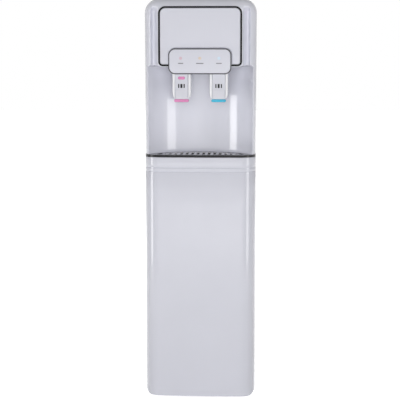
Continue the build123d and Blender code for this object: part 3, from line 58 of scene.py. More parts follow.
# Materials
class Shader:
    """A node tree with a Principled shader, and short calls for the nodes that feed it."""

    def __init__(self, name):
        self.material = bpy.data.materials.new(name)
        self.material.use_nodes = True
        self.tree = self.material.node_tree
        self.bsdf = self.tree.nodes["Principled BSDF"]
        self.coordinates = self.tree.nodes.new("ShaderNodeTexCoord")

    def add(self, kind, **values):
        node = self.tree.nodes.new(kind)
        for key, value in values.items():
            setattr(node, key, value)
        return node

    def link(self, source, target):
        self.tree.links.new(source, target)

    def place(self, stretch=(1, 1, 1)):
        mapping = self.add("ShaderNodeMapping")
        mapping.inputs["Scale"].default_value = stretch
        self.link(self.coordinates.outputs["Object"], mapping.inputs["Vector"])
        return mapping.outputs["Vector"]

    def noise(self, scale, detail=3.0, stretch=(1, 1, 1)):
        node = self.add("ShaderNodeTexNoise")
        node.inputs["Scale"].default_value = scale
        node.inputs["Detail"].default_value = detail
        self.link(self.place(stretch), node.inputs["Vector"])
        return node.outputs["Fac"]

    def between(self, factor, low, high):
        node = self.add("ShaderNodeMapRange")
        node.inputs["From Min"].default_value = 0.3
        node.inputs["From Max"].default_value = 0.7
        node.inputs["To Min"].default_value = low
        node.inputs["To Max"].default_value = high
        self.link(factor, node.inputs["Value"])
        return node.outputs["Result"]

    def mix(self, factor, first, second):
        node = self.add("ShaderNodeMix", data_type="RGBA")
        node.inputs[6].default_value = (*first, 1)
        node.inputs[7].default_value = (*second, 1)
        self.link(factor, node.inputs["Factor"])
        return node.outputs[2]

    def bump(self, height, strength, distance):
        node = self.add("ShaderNodeBump")
        node.inputs["Strength"].default_value = strength
        node.inputs["Distance"].default_value = distance
        self.link(height, node.inputs["Height"])
        previous = self.bsdf.inputs["Normal"].links
        if previous:
            self.link(previous[0].from_socket, node.inputs["Normal"])
        self.link(node.outputs["Normal"], self.bsdf.inputs["Normal"])


def shade(color, amount):
    return tuple(min(1.0, c * amount) for c in color)


def surface(
    name,
    color,
    roughness,
    metallic=0.0,
    coat=0.0,
    tone=0.03,
    tone_scale=9.0,
    grain=900.0,
    grain_strength=0.05,
    grain_stretch=(1, 1, 1),
    ripple=0.0,
    roughness_spread=0.15,
    specular=0.5,
):
    """A moulded, painted or metal surface: clouded colour, uneven gloss and a fine grain."""
    shader = Shader(name)
    bsdf = shader.bsdf
    clouds = shader.noise(tone_scale)
    dark, light = shade(color, 1 - tone), shade(color, 1 + tone)
    shader.link(shader.mix(shader.between(clouds, 0, 1), dark, light), bsdf.inputs["Base Color"])
    smear = shader.noise(tone_scale * 4, 4.0, grain_stretch)
    low = roughness * (1 - roughness_spread)
    high = roughness * (1 + roughness_spread)
    shader.link(shader.between(smear, low, high), bsdf.inputs["Roughness"])
    bsdf.inputs["Metallic"].default_value = metallic
    bsdf.inputs["Coat Weight"].default_value = coat
    bsdf.inputs["Coat Roughness"].default_value = 0.04
    bsdf.inputs["Specular IOR Level"].default_value = specular
    if ripple:
        shader.bump(shader.noise(28.0, 1.0), ripple, 0.001)
    shader.bump(shader.noise(grain, 2.0, grain_stretch), grain_strength, 0.0003)
    return shader.material


WHITE = (0.73, 0.735, 0.81)
finishes = {
    "white_moulding": dict(color=WHITE, roughness=0.16, coat=1.0, tone=0.008, grain_strength=0.02,
                           ripple=0.02),
    "white_panel": dict(color=(0.63, 0.635, 0.705), roughness=0.12, coat=0.8, tone=0.008,
                        grain_strength=0.015, ripple=0.01),
    "white_steel": dict(color=(0.64, 0.645, 0.70), roughness=0.38, tone=0.015, grain=1100,
                        grain_strength=0.12),
    "black_gloss": dict(color=(0.010, 0.010, 0.012), roughness=0.12, coat=0.1, tone=0.2,
                        grain_strength=0.02, specular=0.3),
    "black_plastic": dict(color=(0.022, 0.022, 0.024), roughness=0.42, tone=0.2, grain=1300,
                          grain_strength=0.15, specular=0.2),
    "grey_trim": dict(color=(0.075, 0.075, 0.085), roughness=0.3, tone=0.1),
    "tap_white": dict(color=(0.65, 0.655, 0.72), roughness=0.1, coat=0.5, tone=0.008,
                      grain_strength=0.01),
    "hot_pink": dict(color=(0.72, 0.24, 0.48), roughness=0.2, coat=0.3, tone=0.04),
    "cold_blue": dict(color=(0.045, 0.45, 0.66), roughness=0.2, coat=0.3, tone=0.04),
    "lamp_pink": dict(color=(0.66, 0.50, 0.57), roughness=0.25),
    "lamp_orange": dict(color=(0.73, 0.62, 0.52), roughness=0.25),
    "lamp_blue": dict(color=(0.60, 0.72, 0.83), roughness=0.25),
    "stainless": dict(color=(0.60, 0.60, 0.61), roughness=0.26, metallic=1.0, grain=700,
                      grain_strength=0.08, grain_stretch=(1, 1, 14)),
    "zinc_steel": dict(color=(0.52, 0.53, 0.55), roughness=0.36, metallic=1.0, tone=0.08,
                       tone_scale=45, grain=500, grain_strength=0.06),
    "chrome_part": dict(color=(0.78, 0.78, 0.80), roughness=0.07, metallic=1.0, tone=0.01),
    "black_enamel": dict(color=(0.014, 0.014, 0.015), roughness=0.28, tone=0.2, grain=700,
                         grain_strength=0.1),
    "copper_tube": dict(color=(0.58, 0.27, 0.15), roughness=0.3, metallic=1.0, tone=0.12,
                        tone_scale=40),
    "aluminium_wrap": dict(color=(0.70, 0.71, 0.72), roughness=0.3, metallic=1.0, tone=0.04),
    "foam_white": dict(color=(0.78, 0.78, 0.75), roughness=0.85, grain=260, grain_strength=0.6),
    "filter_white": dict(color=(0.70, 0.71, 0.74), roughness=0.35, tone=0.02,
                         grain_strength=0.06),
    "manifold_grey": dict(color=(0.16, 0.165, 0.18), roughness=0.45, tone=0.05,
                          grain_strength=0.15),
    "rubber_black": dict(color=(0.016, 0.016, 0.016), roughness=0.7, tone=0.2, grain=600,
                         grain_strength=0.3),
    "silicone_clear": dict(color=(0.60, 0.60, 0.57), roughness=0.4),
    "board_green": dict(color=(0.02, 0.13, 0.05), roughness=0.4, tone=0.15, tone_scale=90),
    "switch_red": dict(color=(0.45, 0.03, 0.03), roughness=0.25, tone=0.05),
    "switch_green": dict(color=(0.03, 0.26, 0.07), roughness=0.25, tone=0.05),
    "door_white": dict(color=(0.645, 0.650, 0.72), roughness=0.2, coat=0.8, tone=0.006,
                       grain_strength=0.01, ripple=0.015),
    "grey_mark": dict(color=(0.20, 0.20, 0.22), roughness=0.4, tone=0.05),
    # Painted shade: black for the inserts that fill the lever slots, so the slots read dark
    "black_grip": dict(color=(0.015, 0.015, 0.017), roughness=0.4, tone=0.1),
    "cheek_white": dict(color=(0.88, 0.88, 0.90), roughness=0.1, coat=0.5, tone=0.008,
                        grain_strength=0.01),
    "tap_clear": dict(color=(0.65, 0.65, 0.71), roughness=0.12, coat=0.5, tone=0.02),
    "grille_metal": dict(color=(0.52, 0.52, 0.53), roughness=0.22, metallic=1.0, tone=0.05,
                         grain=700, grain_strength=0.06, grain_stretch=(14, 1, 1)),
}
materials = {name: surface(name, **finish) for name, finish in finishes.items()}

slots = {entry["node"]: entry["material_slot"] for entry in frame["record"]["subparts"]}
for node_name, node in nodes.items():
    node.data.materials.clear()
    node.data.materials.append(materials[slots[node_name]])


MM = 0.001

# Levels and sizes in millimetres that the dressed pieces share with the CAD nodes they stand for
HOUSING_FRONT = -200.0
SEAM = -130.0
TOP_LEVEL = 1090.0
NICHE_FLOOR = 675.5
HEAD_BOTTOM = 909.5
HALF_TOP = 149.86
HALF_BASE = 148.5
TOP_CORNER = 38.0
FRONT_ROUND = 36.0
NICHE_DEPTH = 102.0
NICHE_RADIUS = 156.2
NICHE_CENTRE_Y = HOUSING_FRONT + NICHE_DEPTH - NICHE_RADIUS
COVE_HEIGHT = 15.0
COVE_REACH = 9.0
HEAD_MARGIN = 4.2
HEAD_RADIUS = 14.0
FLUTE_START = 113.0
FLUTE_SLOPE = 10.5
FLUTE_WALL_START = 126.5
FLUTE_WALL = 10.0
FLUTE_DEPTH = 19.0
FLUTE_TOP = 1076.0
FLUTE_RUN_OUT = 22.0
DOOR_HALF = 111.25
DOOR_BASE = 911.0
DOOR_TOP = 1069.0
DOOR_TOP_RADIUS = 19.0
DOOR_BASE_RADIUS = 12.0
TRIM_WIDTH = 4.6
DISPLAY_SIZE = (167.0, 68.0)
DISPLAY_LEVEL = 924.3
DISPLAY_RADIUS = 18.0
DISPLAY_RING = 2.4
DISPLAY_EDGE = -217.8
DISPLAY_FACE = -219.7
LAMP_X = 50.5
TAP_X = 49.5
LEVER_FRONT = -203.0

# Angles in degrees at which a rounded edge gets a loop
EDGE_ANGLES = (20, 40, 60, 75, 90)


def smoothstep(value):
    value = min(max(value, 0.0), 1.0)
    return value * value * (3 - 2 * value)


def smooth_max(a, b, blend):
    """The larger of the two, with a rounded change-over that vanishes where either is nought."""
    reach = min(blend, a, b)
    if reach <= 0:
        return max(a, b)
    overlap = max(reach - abs(a - b), 0.0) / reach
    return max(a, b) + overlap * overlap * reach / 4


def attach(piece, slot, body, stands_for):
    """Links a piece to the scene, with its finish, its body and the CAD nodes it stands for."""
    scene.collection.objects.link(piece)
    piece.data.materials.append(materials[slot])
    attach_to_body(piece, body)
    if stands_for:
        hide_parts(*stands_for)


def new_piece(name, points, faces, slot, body, stands_for=(), angle=50):
    """A smooth mesh piece from points in millimetres, sharp where faces meet at more than angle."""
    mesh = bpy.data.meshes.new(name)
    mesh.from_pydata([Vector(p) * MM for p in points], [], faces)
    shell = bmesh.new()
    shell.from_mesh(mesh)
    bmesh.ops.remove_doubles(shell, verts=shell.verts, dist=1e-6)
    bmesh.ops.recalc_face_normals(shell, faces=shell.faces)
    shell.to_mesh(mesh)
    shell.free()
    for polygon in mesh.polygons:
        polygon.use_smooth = True
    mesh.set_sharp_from_angle(angle=radians(angle))
    attach(bpy.data.objects.new(name, mesh), slot, body, stands_for)


def loft(loops, closed=True, cap_first=False, cap_last=False):
    """Faces between loops of equal length, given as lists of points. Returns points and faces."""
    count = len(loops[0])
    points = [point for loop in loops for point in loop]
    faces = []
    for level in range(len(loops) - 1):
        for i in range(count if closed else count - 1):
            j = (i + 1) % count
            low, high = level * count, (level + 1) * count
            faces.append((low + i, low + j, high + j, high + i))
    if cap_first:
        faces.append(tuple(range(count - 1, -1, -1)))
    if cap_last:
        start = (len(loops) - 1) * count
        faces.append(tuple(range(start, start + count)))
    return points, faces


def join(*shapes):
    """Several pairs of points and faces as one pair."""
    points, faces = [], []
    for shape_points, shape_faces in shapes:
        start = len(points)
        points += shape_points
        faces += [tuple(start + i for i in face) for face in shape_faces]
    return points, faces


def arc(centre, radius, start, end, steps):
    """Points on a circle in the front view, angles in degrees, end included."""
    return [
        (centre[0] + radius * cos(radians(start + (end - start) * i / steps)),
         centre[1] + radius * sin(radians(start + (end - start) * i / steps)))
        for i in range(steps + 1)
    ]


def rounded_outline(low, high, radii, steps):
    """A rounded rectangle, counterclockwise from its lower right corner, as are the radii."""
    (x0, z0), (x1, z1) = low, high
    corners = ((x1, z0, -90), (x1, z1, 0), (x0, z1, 90), (x0, z0, 180))
    points = []
    for (x, z, start), radius in zip(corners, radii):
        centre = (x + (-radius if x == x1 else radius), z + (radius if z == z0 else -radius))
        points += arc(centre, radius, start, start + 90, steps)
    return points


def drawn_in(outline, amount, closed):
    """The outline moved inwards by amount, with mitred corners. It runs counterclockwise."""
    result = []
    count = len(outline)
    for i, (x, z) in enumerate(outline):
        before = outline[(i - 1) % count] if closed or i else outline[i]
        after = outline[(i + 1) % count] if closed or i < count - 1 else outline[i]
        first = Vector((x - before[0], z - before[1]))
        second = Vector((after[0] - x, after[1] - z))
        first = first.normalized() if first.length > 1e-6 else second.normalized()
        second = second.normalized() if second.length > 1e-6 else first
        normal_1, normal_2 = Vector((-first.y, first.x)), Vector((-second.y, second.x))
        miter = (normal_1 + normal_2) / max(0.35, 1 + normal_1.dot(normal_2))
        result.append((x + miter.x * amount, z + miter.y * amount))
    return result


def front_loops(outline, profile, closed=True):
    """Loops for loft: the outline drawn in and set at a depth for each step of the profile."""
    return [[(x, y, z) for x, z in drawn_in(outline, inset, closed)] for inset, y in profile]


# Upper housing: one glossy moulding whose front is worked out as a depth behind the front plane
def inwards(x, amount):
    """x moved by amount towards the middle plane."""
    return x - (amount if x > 0 else -amount)


def half_width(z):
    corner_z = TOP_LEVEL - TOP_CORNER
    if z <= corner_z:
        return HALF_BASE + (HALF_TOP - HALF_BASE) * (z - NICHE_FLOOR) / (corner_z - NICHE_FLOOR)
    return HALF_TOP - TOP_CORNER + sqrt(max(0.0, TOP_CORNER**2 - (z - corner_z) ** 2))


def edge_depth(u, z):
    """How far the rounded front edge falls back at this distance from the outline."""
    corner_x, corner_z = HALF_TOP - TOP_CORNER, TOP_LEVEL - TOP_CORNER
    if u > corner_x and z > corner_z:
        margin = TOP_CORNER - hypot(u - corner_x, z - corner_z)
    else:
        margin = min(half_width(min(z, corner_z)) - u, TOP_LEVEL - z)
    margin = max(margin, 0.0)
    if margin >= FRONT_ROUND:
        return 0.0
    return FRONT_ROUND - sqrt(FRONT_ROUND**2 - (FRONT_ROUND - margin) ** 2)


def niche_depth(u, z):
    """The round niche wall with the cove at its floor."""
    depth = sqrt(max(0.0, NICHE_RADIUS**2 - u * u)) - (NICHE_RADIUS - NICHE_DEPTH)
    rise = (z - NICHE_FLOOR) / COVE_HEIGHT
    if rise < 1:
        depth -= COVE_REACH * (1 - sqrt(max(0.0, 1 - (1 - rise) ** 2)))
    return depth


def head_distance(u, z):
    """Distance outside the flat face of the head, whose two lower corners are rounded."""
    side, radius = DOOR_HALF + HEAD_MARGIN, HEAD_RADIUS
    corner_x, corner_z = side - radius, HEAD_BOTTOM + radius
    if u > corner_x and z < corner_z:
        return hypot(u - corner_x, corner_z - z) - radius
    return max(u - side, HEAD_BOTTOM - z)


def flute_depth(u, z):
    """An open channel beside the head: a gentle slope by the door, then a steep outer wall."""
    inner = min(max((u - FLUTE_START) / FLUTE_SLOPE, 0.0), 1.0)
    outer = 1 - smoothstep((u - FLUTE_WALL_START) / FLUTE_WALL)
    run_out = smoothstep((FLUTE_TOP - z) / FLUTE_RUN_OUT)
    return FLUTE_DEPTH * (1 - (1 - inner) ** 1.6) * outer * run_out


def housing_depth(u, z):
    """Head, flutes and niche as one surface: the flutes open into the niche beside the head."""
    to_niche = smoothstep((914.5 - z) / 5.0)
    wall = 12.5 * (1 - to_niche) + 1.6 * to_niche
    hollow = smoothstep(head_distance(u, z) / wall) * niche_depth(u, z) * to_niche
    hollow += flute_depth(u, z) * (1 - to_niche)
    return smooth_max(edge_depth(u, z), hollow, 2.0)


def spaced(start, end, count):
    return [start + (end - start) * i / count for i in range(count)]


def make_upper_housing():
    levels = [675.5, 675.9, 676.5, 677.3, 678.4, 680, 682, 684.5, 687.5, 691]
    levels += spaced(696, 896, 16) + spaced(896, 906, 7) + spaced(906, 912, 26)
    levels += spaced(912, 936, 22) + spaced(936, 1036, 20) + spaced(1036, 1078, 24)
    levels += [TOP_LEVEL - 12 * (1 - sin(pi / 2 * i / 10)) for i in range(11)]
    columns = spaced(0, 96, 20) + spaced(96, 112, 12) + spaced(112, 145, 38)
    columns += [145 + (HALF_TOP - 145) * sin(pi / 2 * i / 8) for i in range(9)]
    columns = [-u for u in reversed(columns[1:])] + columns
    rows, rounded_back = [], HOUSING_FRONT + FRONT_ROUND
    for z in levels:
        places = [u * half_width(z) / HALF_TOP for u in columns]
        rows.append([(x, HOUSING_FRONT + housing_depth(abs(x), z), z) for x in places])
    for row in rows:
        for i in (0, -1):
            row[i] = (row[i][0], rounded_back, row[i][2])
    rows[-1] = [(x, rounded_back, z) for x, _, z in rows[-1]]
    skin = loft(rows, closed=False)
    border = [row[0] for row in rows] + rows[-1][1:-1] + [row[-1] for row in reversed(rows)]
    lip, returns = 3.0, []
    for y in (rounded_back, -152.0, -141.0, SEAM - 0.4, SEAM):
        shrink = 0.4 if y == SEAM else 0.0
        returns.append([(inwards(x, shrink), y, min(z, TOP_LEVEL - shrink)) for x, _, z in border])
    inner = [(inwards(x, lip * min(1, abs(x) / 20)), min(z, TOP_LEVEL - lip)) for x, _, z in border]
    returns += [[(x, y, z) for x, z in inner] for y in (SEAM, SEAM - 12)]
    sides = loft(returns, closed=False)
    floor_edge = loft([rows[0], [(x, y + lip, z) for x, y, z in rows[0]]], closed=False)
    shell = join(skin, sides, floor_edge)
    new_piece("upper_housing_shell", *shell, "white_moulding", "cabinet", ["upper_housing"])


# Door plate and its black frame, both open where the display sits
def door_outline(inset, notched):
    """The outline from the right of the display round to its left; the notch closes it."""
    half, low, high = DOOR_HALF - inset, DOOR_BASE + inset, DOOR_TOP - inset
    base_radius, top_radius = DOOR_BASE_RADIUS - inset, DOOR_TOP_RADIUS - inset
    notch_half = DISPLAY_SIZE[0] / 2 + 0.6
    notch_top = DISPLAY_LEVEL + DISPLAY_SIZE[1] / 2 + 0.6
    start = notch_half if notched else notch_half - 6
    points = [(start, low)]
    points += arc((half - base_radius, low + base_radius), base_radius, -90, 0, 10)
    points += arc((half - top_radius, high - top_radius), top_radius, 0, 90, 14)
    points += arc((-half + top_radius, high - top_radius), top_radius, 90, 180, 14)
    points += arc((-half + base_radius, low + base_radius), base_radius, 180, 270, 10)
    points.append((-start, low))
    if notched:
        radius = DISPLAY_RADIUS + 0.6
        points += reversed(arc((-notch_half + radius, notch_top - radius), radius, 90, 180, 12))
        points += reversed(arc((notch_half - radius, notch_top - radius), radius, 0, 90, 12))
    return points


def make_door():
    trim_front, plate_front = HOUSING_FRONT - 4.5, HOUSING_FRONT - 4.0
    ring = [(0, HOUSING_FRONT + 8), (0, trim_front + 0.7), (0.25, trim_front + 0.2)]
    ring += [(0.8, trim_front), (TRIM_WIDTH - 0.7, trim_front)]
    ring.append((TRIM_WIDTH - 0.2, trim_front + 0.2))
    ring += [(TRIM_WIDTH, trim_front + 0.7), (TRIM_WIDTH, HOUSING_FRONT)]
    outline = door_outline(0, False)
    points, faces = loft(front_loops(outline, ring, closed=False), closed=False)
    new_piece("door_frame_black", points, faces, "black_gloss", "cabinet", ["door_trim"])
    edge = [(0.15, HOUSING_FRONT), (0.15, plate_front + 2.0)]
    edge += [(0.15 + 2.2 * (1 - cos(radians(a))), plate_front + 2.0 * (1 - sin(radians(a))))
             for a in EDGE_ANGLES]
    points, faces = loft(front_loops(door_outline(TRIM_WIDTH, True), edge), cap_last=True)
    new_piece("door_face", points, faces, "door_white", "cabinet", ["door_plate"], angle=35)


# Display: a proud moulded block, its dark ring, three lamps and a short bar under each
def make_display():
    (width, height), level = DISPLAY_SIZE, DISPLAY_LEVEL
    low, high = (-width / 2, level - height / 2), (width / 2, level + height / 2)
    outline = rounded_outline(low, high, [DISPLAY_RADIUS] * 4, 14)
    inner, edge = DISPLAY_RING + 0.2, DISPLAY_EDGE - DISPLAY_FACE
    body = [(0, HOUSING_FRONT), (0, -214.2), (0.3, -214.5), (inner, -214.5), (inner, DISPLAY_EDGE)]
    body += [(inner + edge * (1 - cos(radians(a))), DISPLAY_EDGE - edge * sin(radians(a)))
             for a in EDGE_ANGLES]
    points, faces = loft(front_loops(outline, body), cap_last=True)
    new_piece("display_face", points, faces, "door_white", "cabinet", ["display_panel"], angle=35)
    ring = [(0.0, -214.0), (0.0, -217.0), (0.5, -217.5), (DISPLAY_RING - 0.3, -217.5)]
    ring += [(DISPLAY_RING, -217.2), (DISPLAY_RING, -214.0)]
    points, faces = loft(front_loops(outline, ring))
    new_piece("display_ring", points, faces, "grey_trim", "cabinet", ["display_trim"])
    make_lamp("hot", -LAMP_X, "lamp_pink", 14)
    make_lamp("power", 0, "lamp_orange", 20)
    make_lamp("cold", LAMP_X, "lamp_blue", 15)


def make_lamp(name, x, slot, mark):
    """A low round lens with a short bar of width mark below it."""
    lamp_level, mark_level, face = DISPLAY_LEVEL + 8.0, DISPLAY_LEVEL - 5.4, DISPLAY_FACE
    loops = []
    for radius, rise in ((4.2, -2), (4.2, 0), (3.9, 0.14), (2.6, 0.24), (1.0, 0.29)):
        circle = arc((0, 0), radius, 0, 345, 23)
        loops.append([(x + px, face - rise, lamp_level + pz) for px, pz in circle])
    points, faces = loft(loops, cap_last=True)
    new_piece(f"{name}_lamp_lens", points, faces, slot, "cabinet", [f"{name}_lamp"])
    low, high = (x - mark / 2, mark_level - 1.25), (x + mark / 2, mark_level + 1.25)
    profile = [(0, face), (0, face - 0.1), (0.15, face - 0.16)]
    outline = rounded_outline(low, high, [1.2] * 4, 6)
    points, faces = loft(front_loops(outline, profile), cap_last=True)
    new_piece(f"{name}_lamp_bar", points, faces, "grey_mark", "cabinet")


# Taps: pads with rounded ends, the lock button, black inserts that paint shade into the lever
# slots, and smooth cowls
def rounded_profile(back, front, radius):
    """A profile for front_loops: straight back, then a rounded front edge."""
    edge = [(radius * (1 - cos(radians(a))), front + radius * (1 - sin(radians(a))))
            for a in (0, *EDGE_ANGLES)]
    return [(0, back)] + edge


def front_block(low, high, radius, back, front, edge):
    """A block that is a rounded rectangle from the front, with its front edge rounded."""
    outline = rounded_outline(low, high, [radius] * 4, 8)
    loops = front_loops(outline, rounded_profile(back, front, edge))
    return loft(loops, cap_first=True, cap_last=True)


def make_tap(name, x):
    lever = f"{name}_lever"
    accent = "hot_pink" if name == "hot" else "cold_blue"
    pad = front_block((x - 19.5, 816.0), (x + 19.5, 824.0), 3.6, -197.0, -206.0, 2.6)
    new_piece(f"{name}_pad_soft", *pad, accent, lever, [f"{name}_lever_pad"], angle=60)
    if name == "hot":
        lock = "hot_lock_button"
        cap = front_block((x - 9, 876.0), (x + 9, 884.0), 3.6, -200.0, -206.4, 1.6)
        new_piece("lock_button_cap", *cap, "hot_pink", lock, [lock], angle=60)
    # Painted shade: black inserts fill each lever's three slots so that they read dark
    slot_shades = []
    for shift, width in ((-7.2, 3.2), (0, 5.6), (7.2, 3.2)):
        low, high = (x + shift - width / 2, 853.6), (x + shift + width / 2, 864.4)
        radius = min(width / 2 - 0.2, 1.3)
        slot_shades.append(front_block(low, high, radius, LEVER_FRONT, -205.25, 0.2))
    new_piece(f"{name}_lever_grips", *join(*slot_shades), "black_grip", lever)
    window = front_block((x - 15.2, 825.0), (x + 15.2, 849.0), 2, LEVER_FRONT, -205.7, 0.9)
    new_piece(f"{name}_lever_window", *window, "tap_clear", lever)
    make_cowl(name, x)


def make_cowl(name, x):
    """Two smooth cheeks beside the lever, drawn in at the foot, with a crown between them."""
    top, foot, taper, back = HEAD_BOTTOM, 827.0, 17.0, -152.0
    inner, narrow, swell, step_y, front = 17.6, 19.3, 5.2, -189.0, -198.0
    levels = [foot + taper * (1 - cos(pi / 2 * i / 10)) for i in range(11)]
    levels += spaced(foot + taper + 4, 886, 6) + [886, top]
    sides = []
    for side in (-1, 1):
        rows = []
        for z in levels:
            t = min(1.0, (z - foot) / taper)
            outer = narrow + swell * sqrt(max(0.0, 1 - (1 - t) ** 2))
            nose = min(4.2, (outer - inner) * 0.8)
            section = [(inner, step_y), (inner, front + 0.6), (inner + 0.5, front)]
            turns = [radians(a) for a in range(0, 91, 15)]
            section += [(outer - nose + nose * sin(a), front + nose * (1 - cos(a))) for a in turns]
            section += [(outer, back), (outer - 2.4, back), (outer - 2.4, step_y)]
            rows.append([(x + side * px, py, z) for px, py in section])
        sides.append(loft(rows, cap_first=True, cap_last=True))
    crown = front_block((x - 19, 891.0), (x + 19, top), 1, -194.0, front, 0.8)
    cowl = join(*sides, crown)
    new_piece(f"{name}_cowl_shell", *cowl, "cheek_white", "cabinet", [f"{name}_tap_cowl"])


# Lower front panel: bowed front, round edges, two grooves and ribs inside
PANEL_HALF = 149.25
PANEL_FRONT = -214.0
PANEL_BOW = 3.0
PANEL_ROUND = 42.0
PANEL_STEPS = 16
PANEL_FOOT = 13.0
PANEL_FOOT_ROUND = 19.0
PANEL_TOP = 669.0
PANEL_WALL = 3.0
GROOVE_LEVELS = (641.0, 630.0)


def panel_plan(inset):
    """The plan outline from the right rear round the front to the left rear, as seen from above."""
    half, radius = PANEL_HALF - inset, PANEL_ROUND - inset
    front, reach = PANEL_FRONT + PANEL_BOW + inset, half - radius
    points = [(half, SEAM), (half, SEAM - 20)]
    points += [(reach + radius * cos(radians(a)), front + radius - radius * sin(radians(a)))
               for a in spaced(0, 90, PANEL_STEPS)]
    for i in range(25):
        x = reach * (1 - 2 * i / 24)
        points.append((x, front - PANEL_BOW * (1 - (x / reach) ** 2)))
    points += [(-reach - radius * sin(radians(a)), front + radius - radius * cos(radians(a)))
               for a in [90 * i / PANEL_STEPS for i in range(1, PANEL_STEPS + 1)]]
    return points + [(-half, SEAM - 20), (-half, SEAM)]


def panel_ring(inset, z):
    """The plan outline at a level, cut off at the sides where the two bottom corners round in."""
    rise = PANEL_FOOT_ROUND - (z - PANEL_FOOT)
    half = PANEL_HALF - inset
    if rise > 0:
        half -= PANEL_FOOT_ROUND - sqrt(max(0.0, PANEL_FOOT_ROUND**2 - rise**2))
    return [(min(max(x, -half), half), y, z) for x, y in panel_plan(inset)]


def make_lower_panel():
    foot_levels = [PANEL_FOOT + PANEL_FOOT_ROUND * (1 - cos(pi / 2 * i / 12)) for i in range(13)]
    levels = [(1.6, PANEL_FOOT), (0.5, foot_levels[1] + 0.3)] + [(0, z) for z in foot_levels[2:]]
    levels += [(0, z) for z in spaced(40, GROOVE_LEVELS[1] - 1, 12)]
    groove = ((0, -1.2), (0.25, -0.7), (1.8, -0.5), (1.8, 1.2), (0.25, 1.4), (0, 1.9))
    for level in reversed(GROOVE_LEVELS):
        levels += [(inset, level + rise) for inset, rise in groove]
    levels += [(0, 655), (0, PANEL_TOP - 1.6), (0.15, PANEL_TOP - 0.8), (0.6, PANEL_TOP - 0.25)]
    levels.append((1.4, PANEL_TOP))
    inside = (PANEL_TOP, PANEL_TOP - 20, 100, PANEL_FOOT + PANEL_WALL + 16)
    levels += [(PANEL_WALL, z) for z in inside]
    rings = [panel_ring(inset, z) for inset, z in levels]
    floor = (rings[0], [tuple(range(len(rings[0])))])
    ribs, step = [], (GROOVE_LEVELS[1] - PANEL_FOOT) / 5
    for i in range(4):
        z = PANEL_FOOT + (i + 1) * step
        section = ((0, z), (6, z), (6, z + 2), (0, z + 2))
        loops = [panel_ring(PANEL_WALL + reach, level) for reach, level in section]
        ribs.append(loft(loops, closed=False))
    edges = []
    for side in (0, -1):
        outer = [ring[side] for ring in rings[:-len(inside)]]
        inner = [(inwards(x, PANEL_WALL), y, z) for x, y, z in outer]
        edges.append(loft([outer, inner], closed=False))
    panel = join(loft(rings, closed=False), floor, *ribs, *edges)
    body = "lower_front_panel"
    new_piece("lower_panel_shell", *panel, "white_panel", body, [body], angle=40)


# Drip grille: bright round-topped bars in a rim that follows the niche
GRILLE_HALF = 112.0
GRILLE_FRONT = -202.0
GRILLE_REACH = 140.2
GRILLE_RIM = 9.0
GRILLE_CORNER = 20.0
BAR_PITCH = 15.0
BAR_WIDTH = 8.4


def tray_plan(inset):
    """The grille's plan outline, counterclockwise from its front right corner."""
    half, front, reach = GRILLE_HALF - inset, GRILLE_FRONT + inset, GRILLE_REACH - inset

    def back(x):
        return NICHE_CENTRE_Y + sqrt(max(0.0, reach**2 - x * x))

    radius, turns = GRILLE_CORNER, [radians(90 * i / 8) for i in range(9)]
    corner_y = back(half)
    side = [(half, corner_y - 12), (half - 2, corner_y - 4.5), (half - 6, back(half - 6) - 1.2)]
    points = [(half - radius + radius * sin(a), front + radius - radius * cos(a)) for a in turns]
    points += side + [(x, back(x)) for x in spaced(half - 14, -(half - 14), 28)]
    points += [(-(half - 14), back(half - 14))] + [(-x, y) for x, y in reversed(side)]
    points += [(-half + radius - radius * cos(a), front + radius - radius * sin(a)) for a in turns]
    return points


def make_grille():
    top, base, rim, edge = NICHE_FLOOR, NICHE_FLOOR - 3.0, GRILLE_RIM, 2.6
    profile = [(edge, base), (edge, top - 1.0), (2.9, top - 0.3), (3.6, top), (rim - 0.8, top)]
    profile += [(rim - 0.2, top - 0.3), (rim, top - 1), (rim, base), (edge, base)]
    shapes = [loft([[(x, y, z) for x, y in tray_plan(inset)] for inset, z in profile])]
    half_bar, crown = BAR_WIDTH / 2, 1.6
    section = [(-half_bar, base)]
    section += [(-half_bar * cos(radians(a)), top - crown + crown * sin(radians(a)))
                for a in (0, 22, 45, 67, 90, 113, 135, 158, 180)]
    section.append((half_bar, base))
    front, reach = GRILLE_FRONT + rim - 1.0, GRILLE_REACH - rim + 1.0
    for i in range(-6, 7):
        x = i * BAR_PITCH
        back = NICHE_CENTRE_Y + sqrt(reach**2 - x * x)
        shapes.append(loft([[(x + px, y, pz) for px, pz in section] for y in (front, back)]))
    new_piece("grille_bars", *join(*shapes), "grille_metal", "drip_grille", ["drip_grille"])


# Rear: round condenser tube and wires, refrigerant lines, screws
def tube(name, routes, radius, slot, stands_for=(), resolution=5):
    """Runs of smooth round tube through the given points, as one curve object on the cabinet."""
    curve = bpy.data.curves.new(name, "CURVE")
    curve.dimensions = "3D"
    curve.bevel_depth = radius * MM
    curve.bevel_resolution = resolution
    curve.use_fill_caps = True
    for route in routes:
        spline = curve.splines.new("POLY")
        spline.points.add(len(route) - 1)
        for point, place in zip(spline.points, route):
            point.co = (*(Vector(place) * MM), 1)
        spline.use_smooth = True
    attach(bpy.data.objects.new(name, curve), slot, "cabinet", stands_for)


def bent(route, radius, steps):
    """The route with each corner rounded to the radius."""
    result = [Vector(route[0])]
    for before, corner, after in zip(route, route[1:], route[2:]):
        before, corner, after = Vector(before), Vector(corner), Vector(after)
        first, second = (before - corner).normalized(), (after - corner).normalized()
        half_turn = tan(first.angle(second) / 2)
        spare = min((before - corner).length, (after - corner).length) * 0.5
        reach = min(radius / half_turn, spare)
        size = reach * half_turn
        centre = corner + (first + second).normalized() * sqrt(reach**2 + size**2)
        start, end = corner + first * reach - centre, corner + second * reach - centre
        for i in range(steps + 1):
            result.append(centre + start.slerp(end, i / steps).normalized() * size)
    result.append(Vector(route[-1]))
    return result


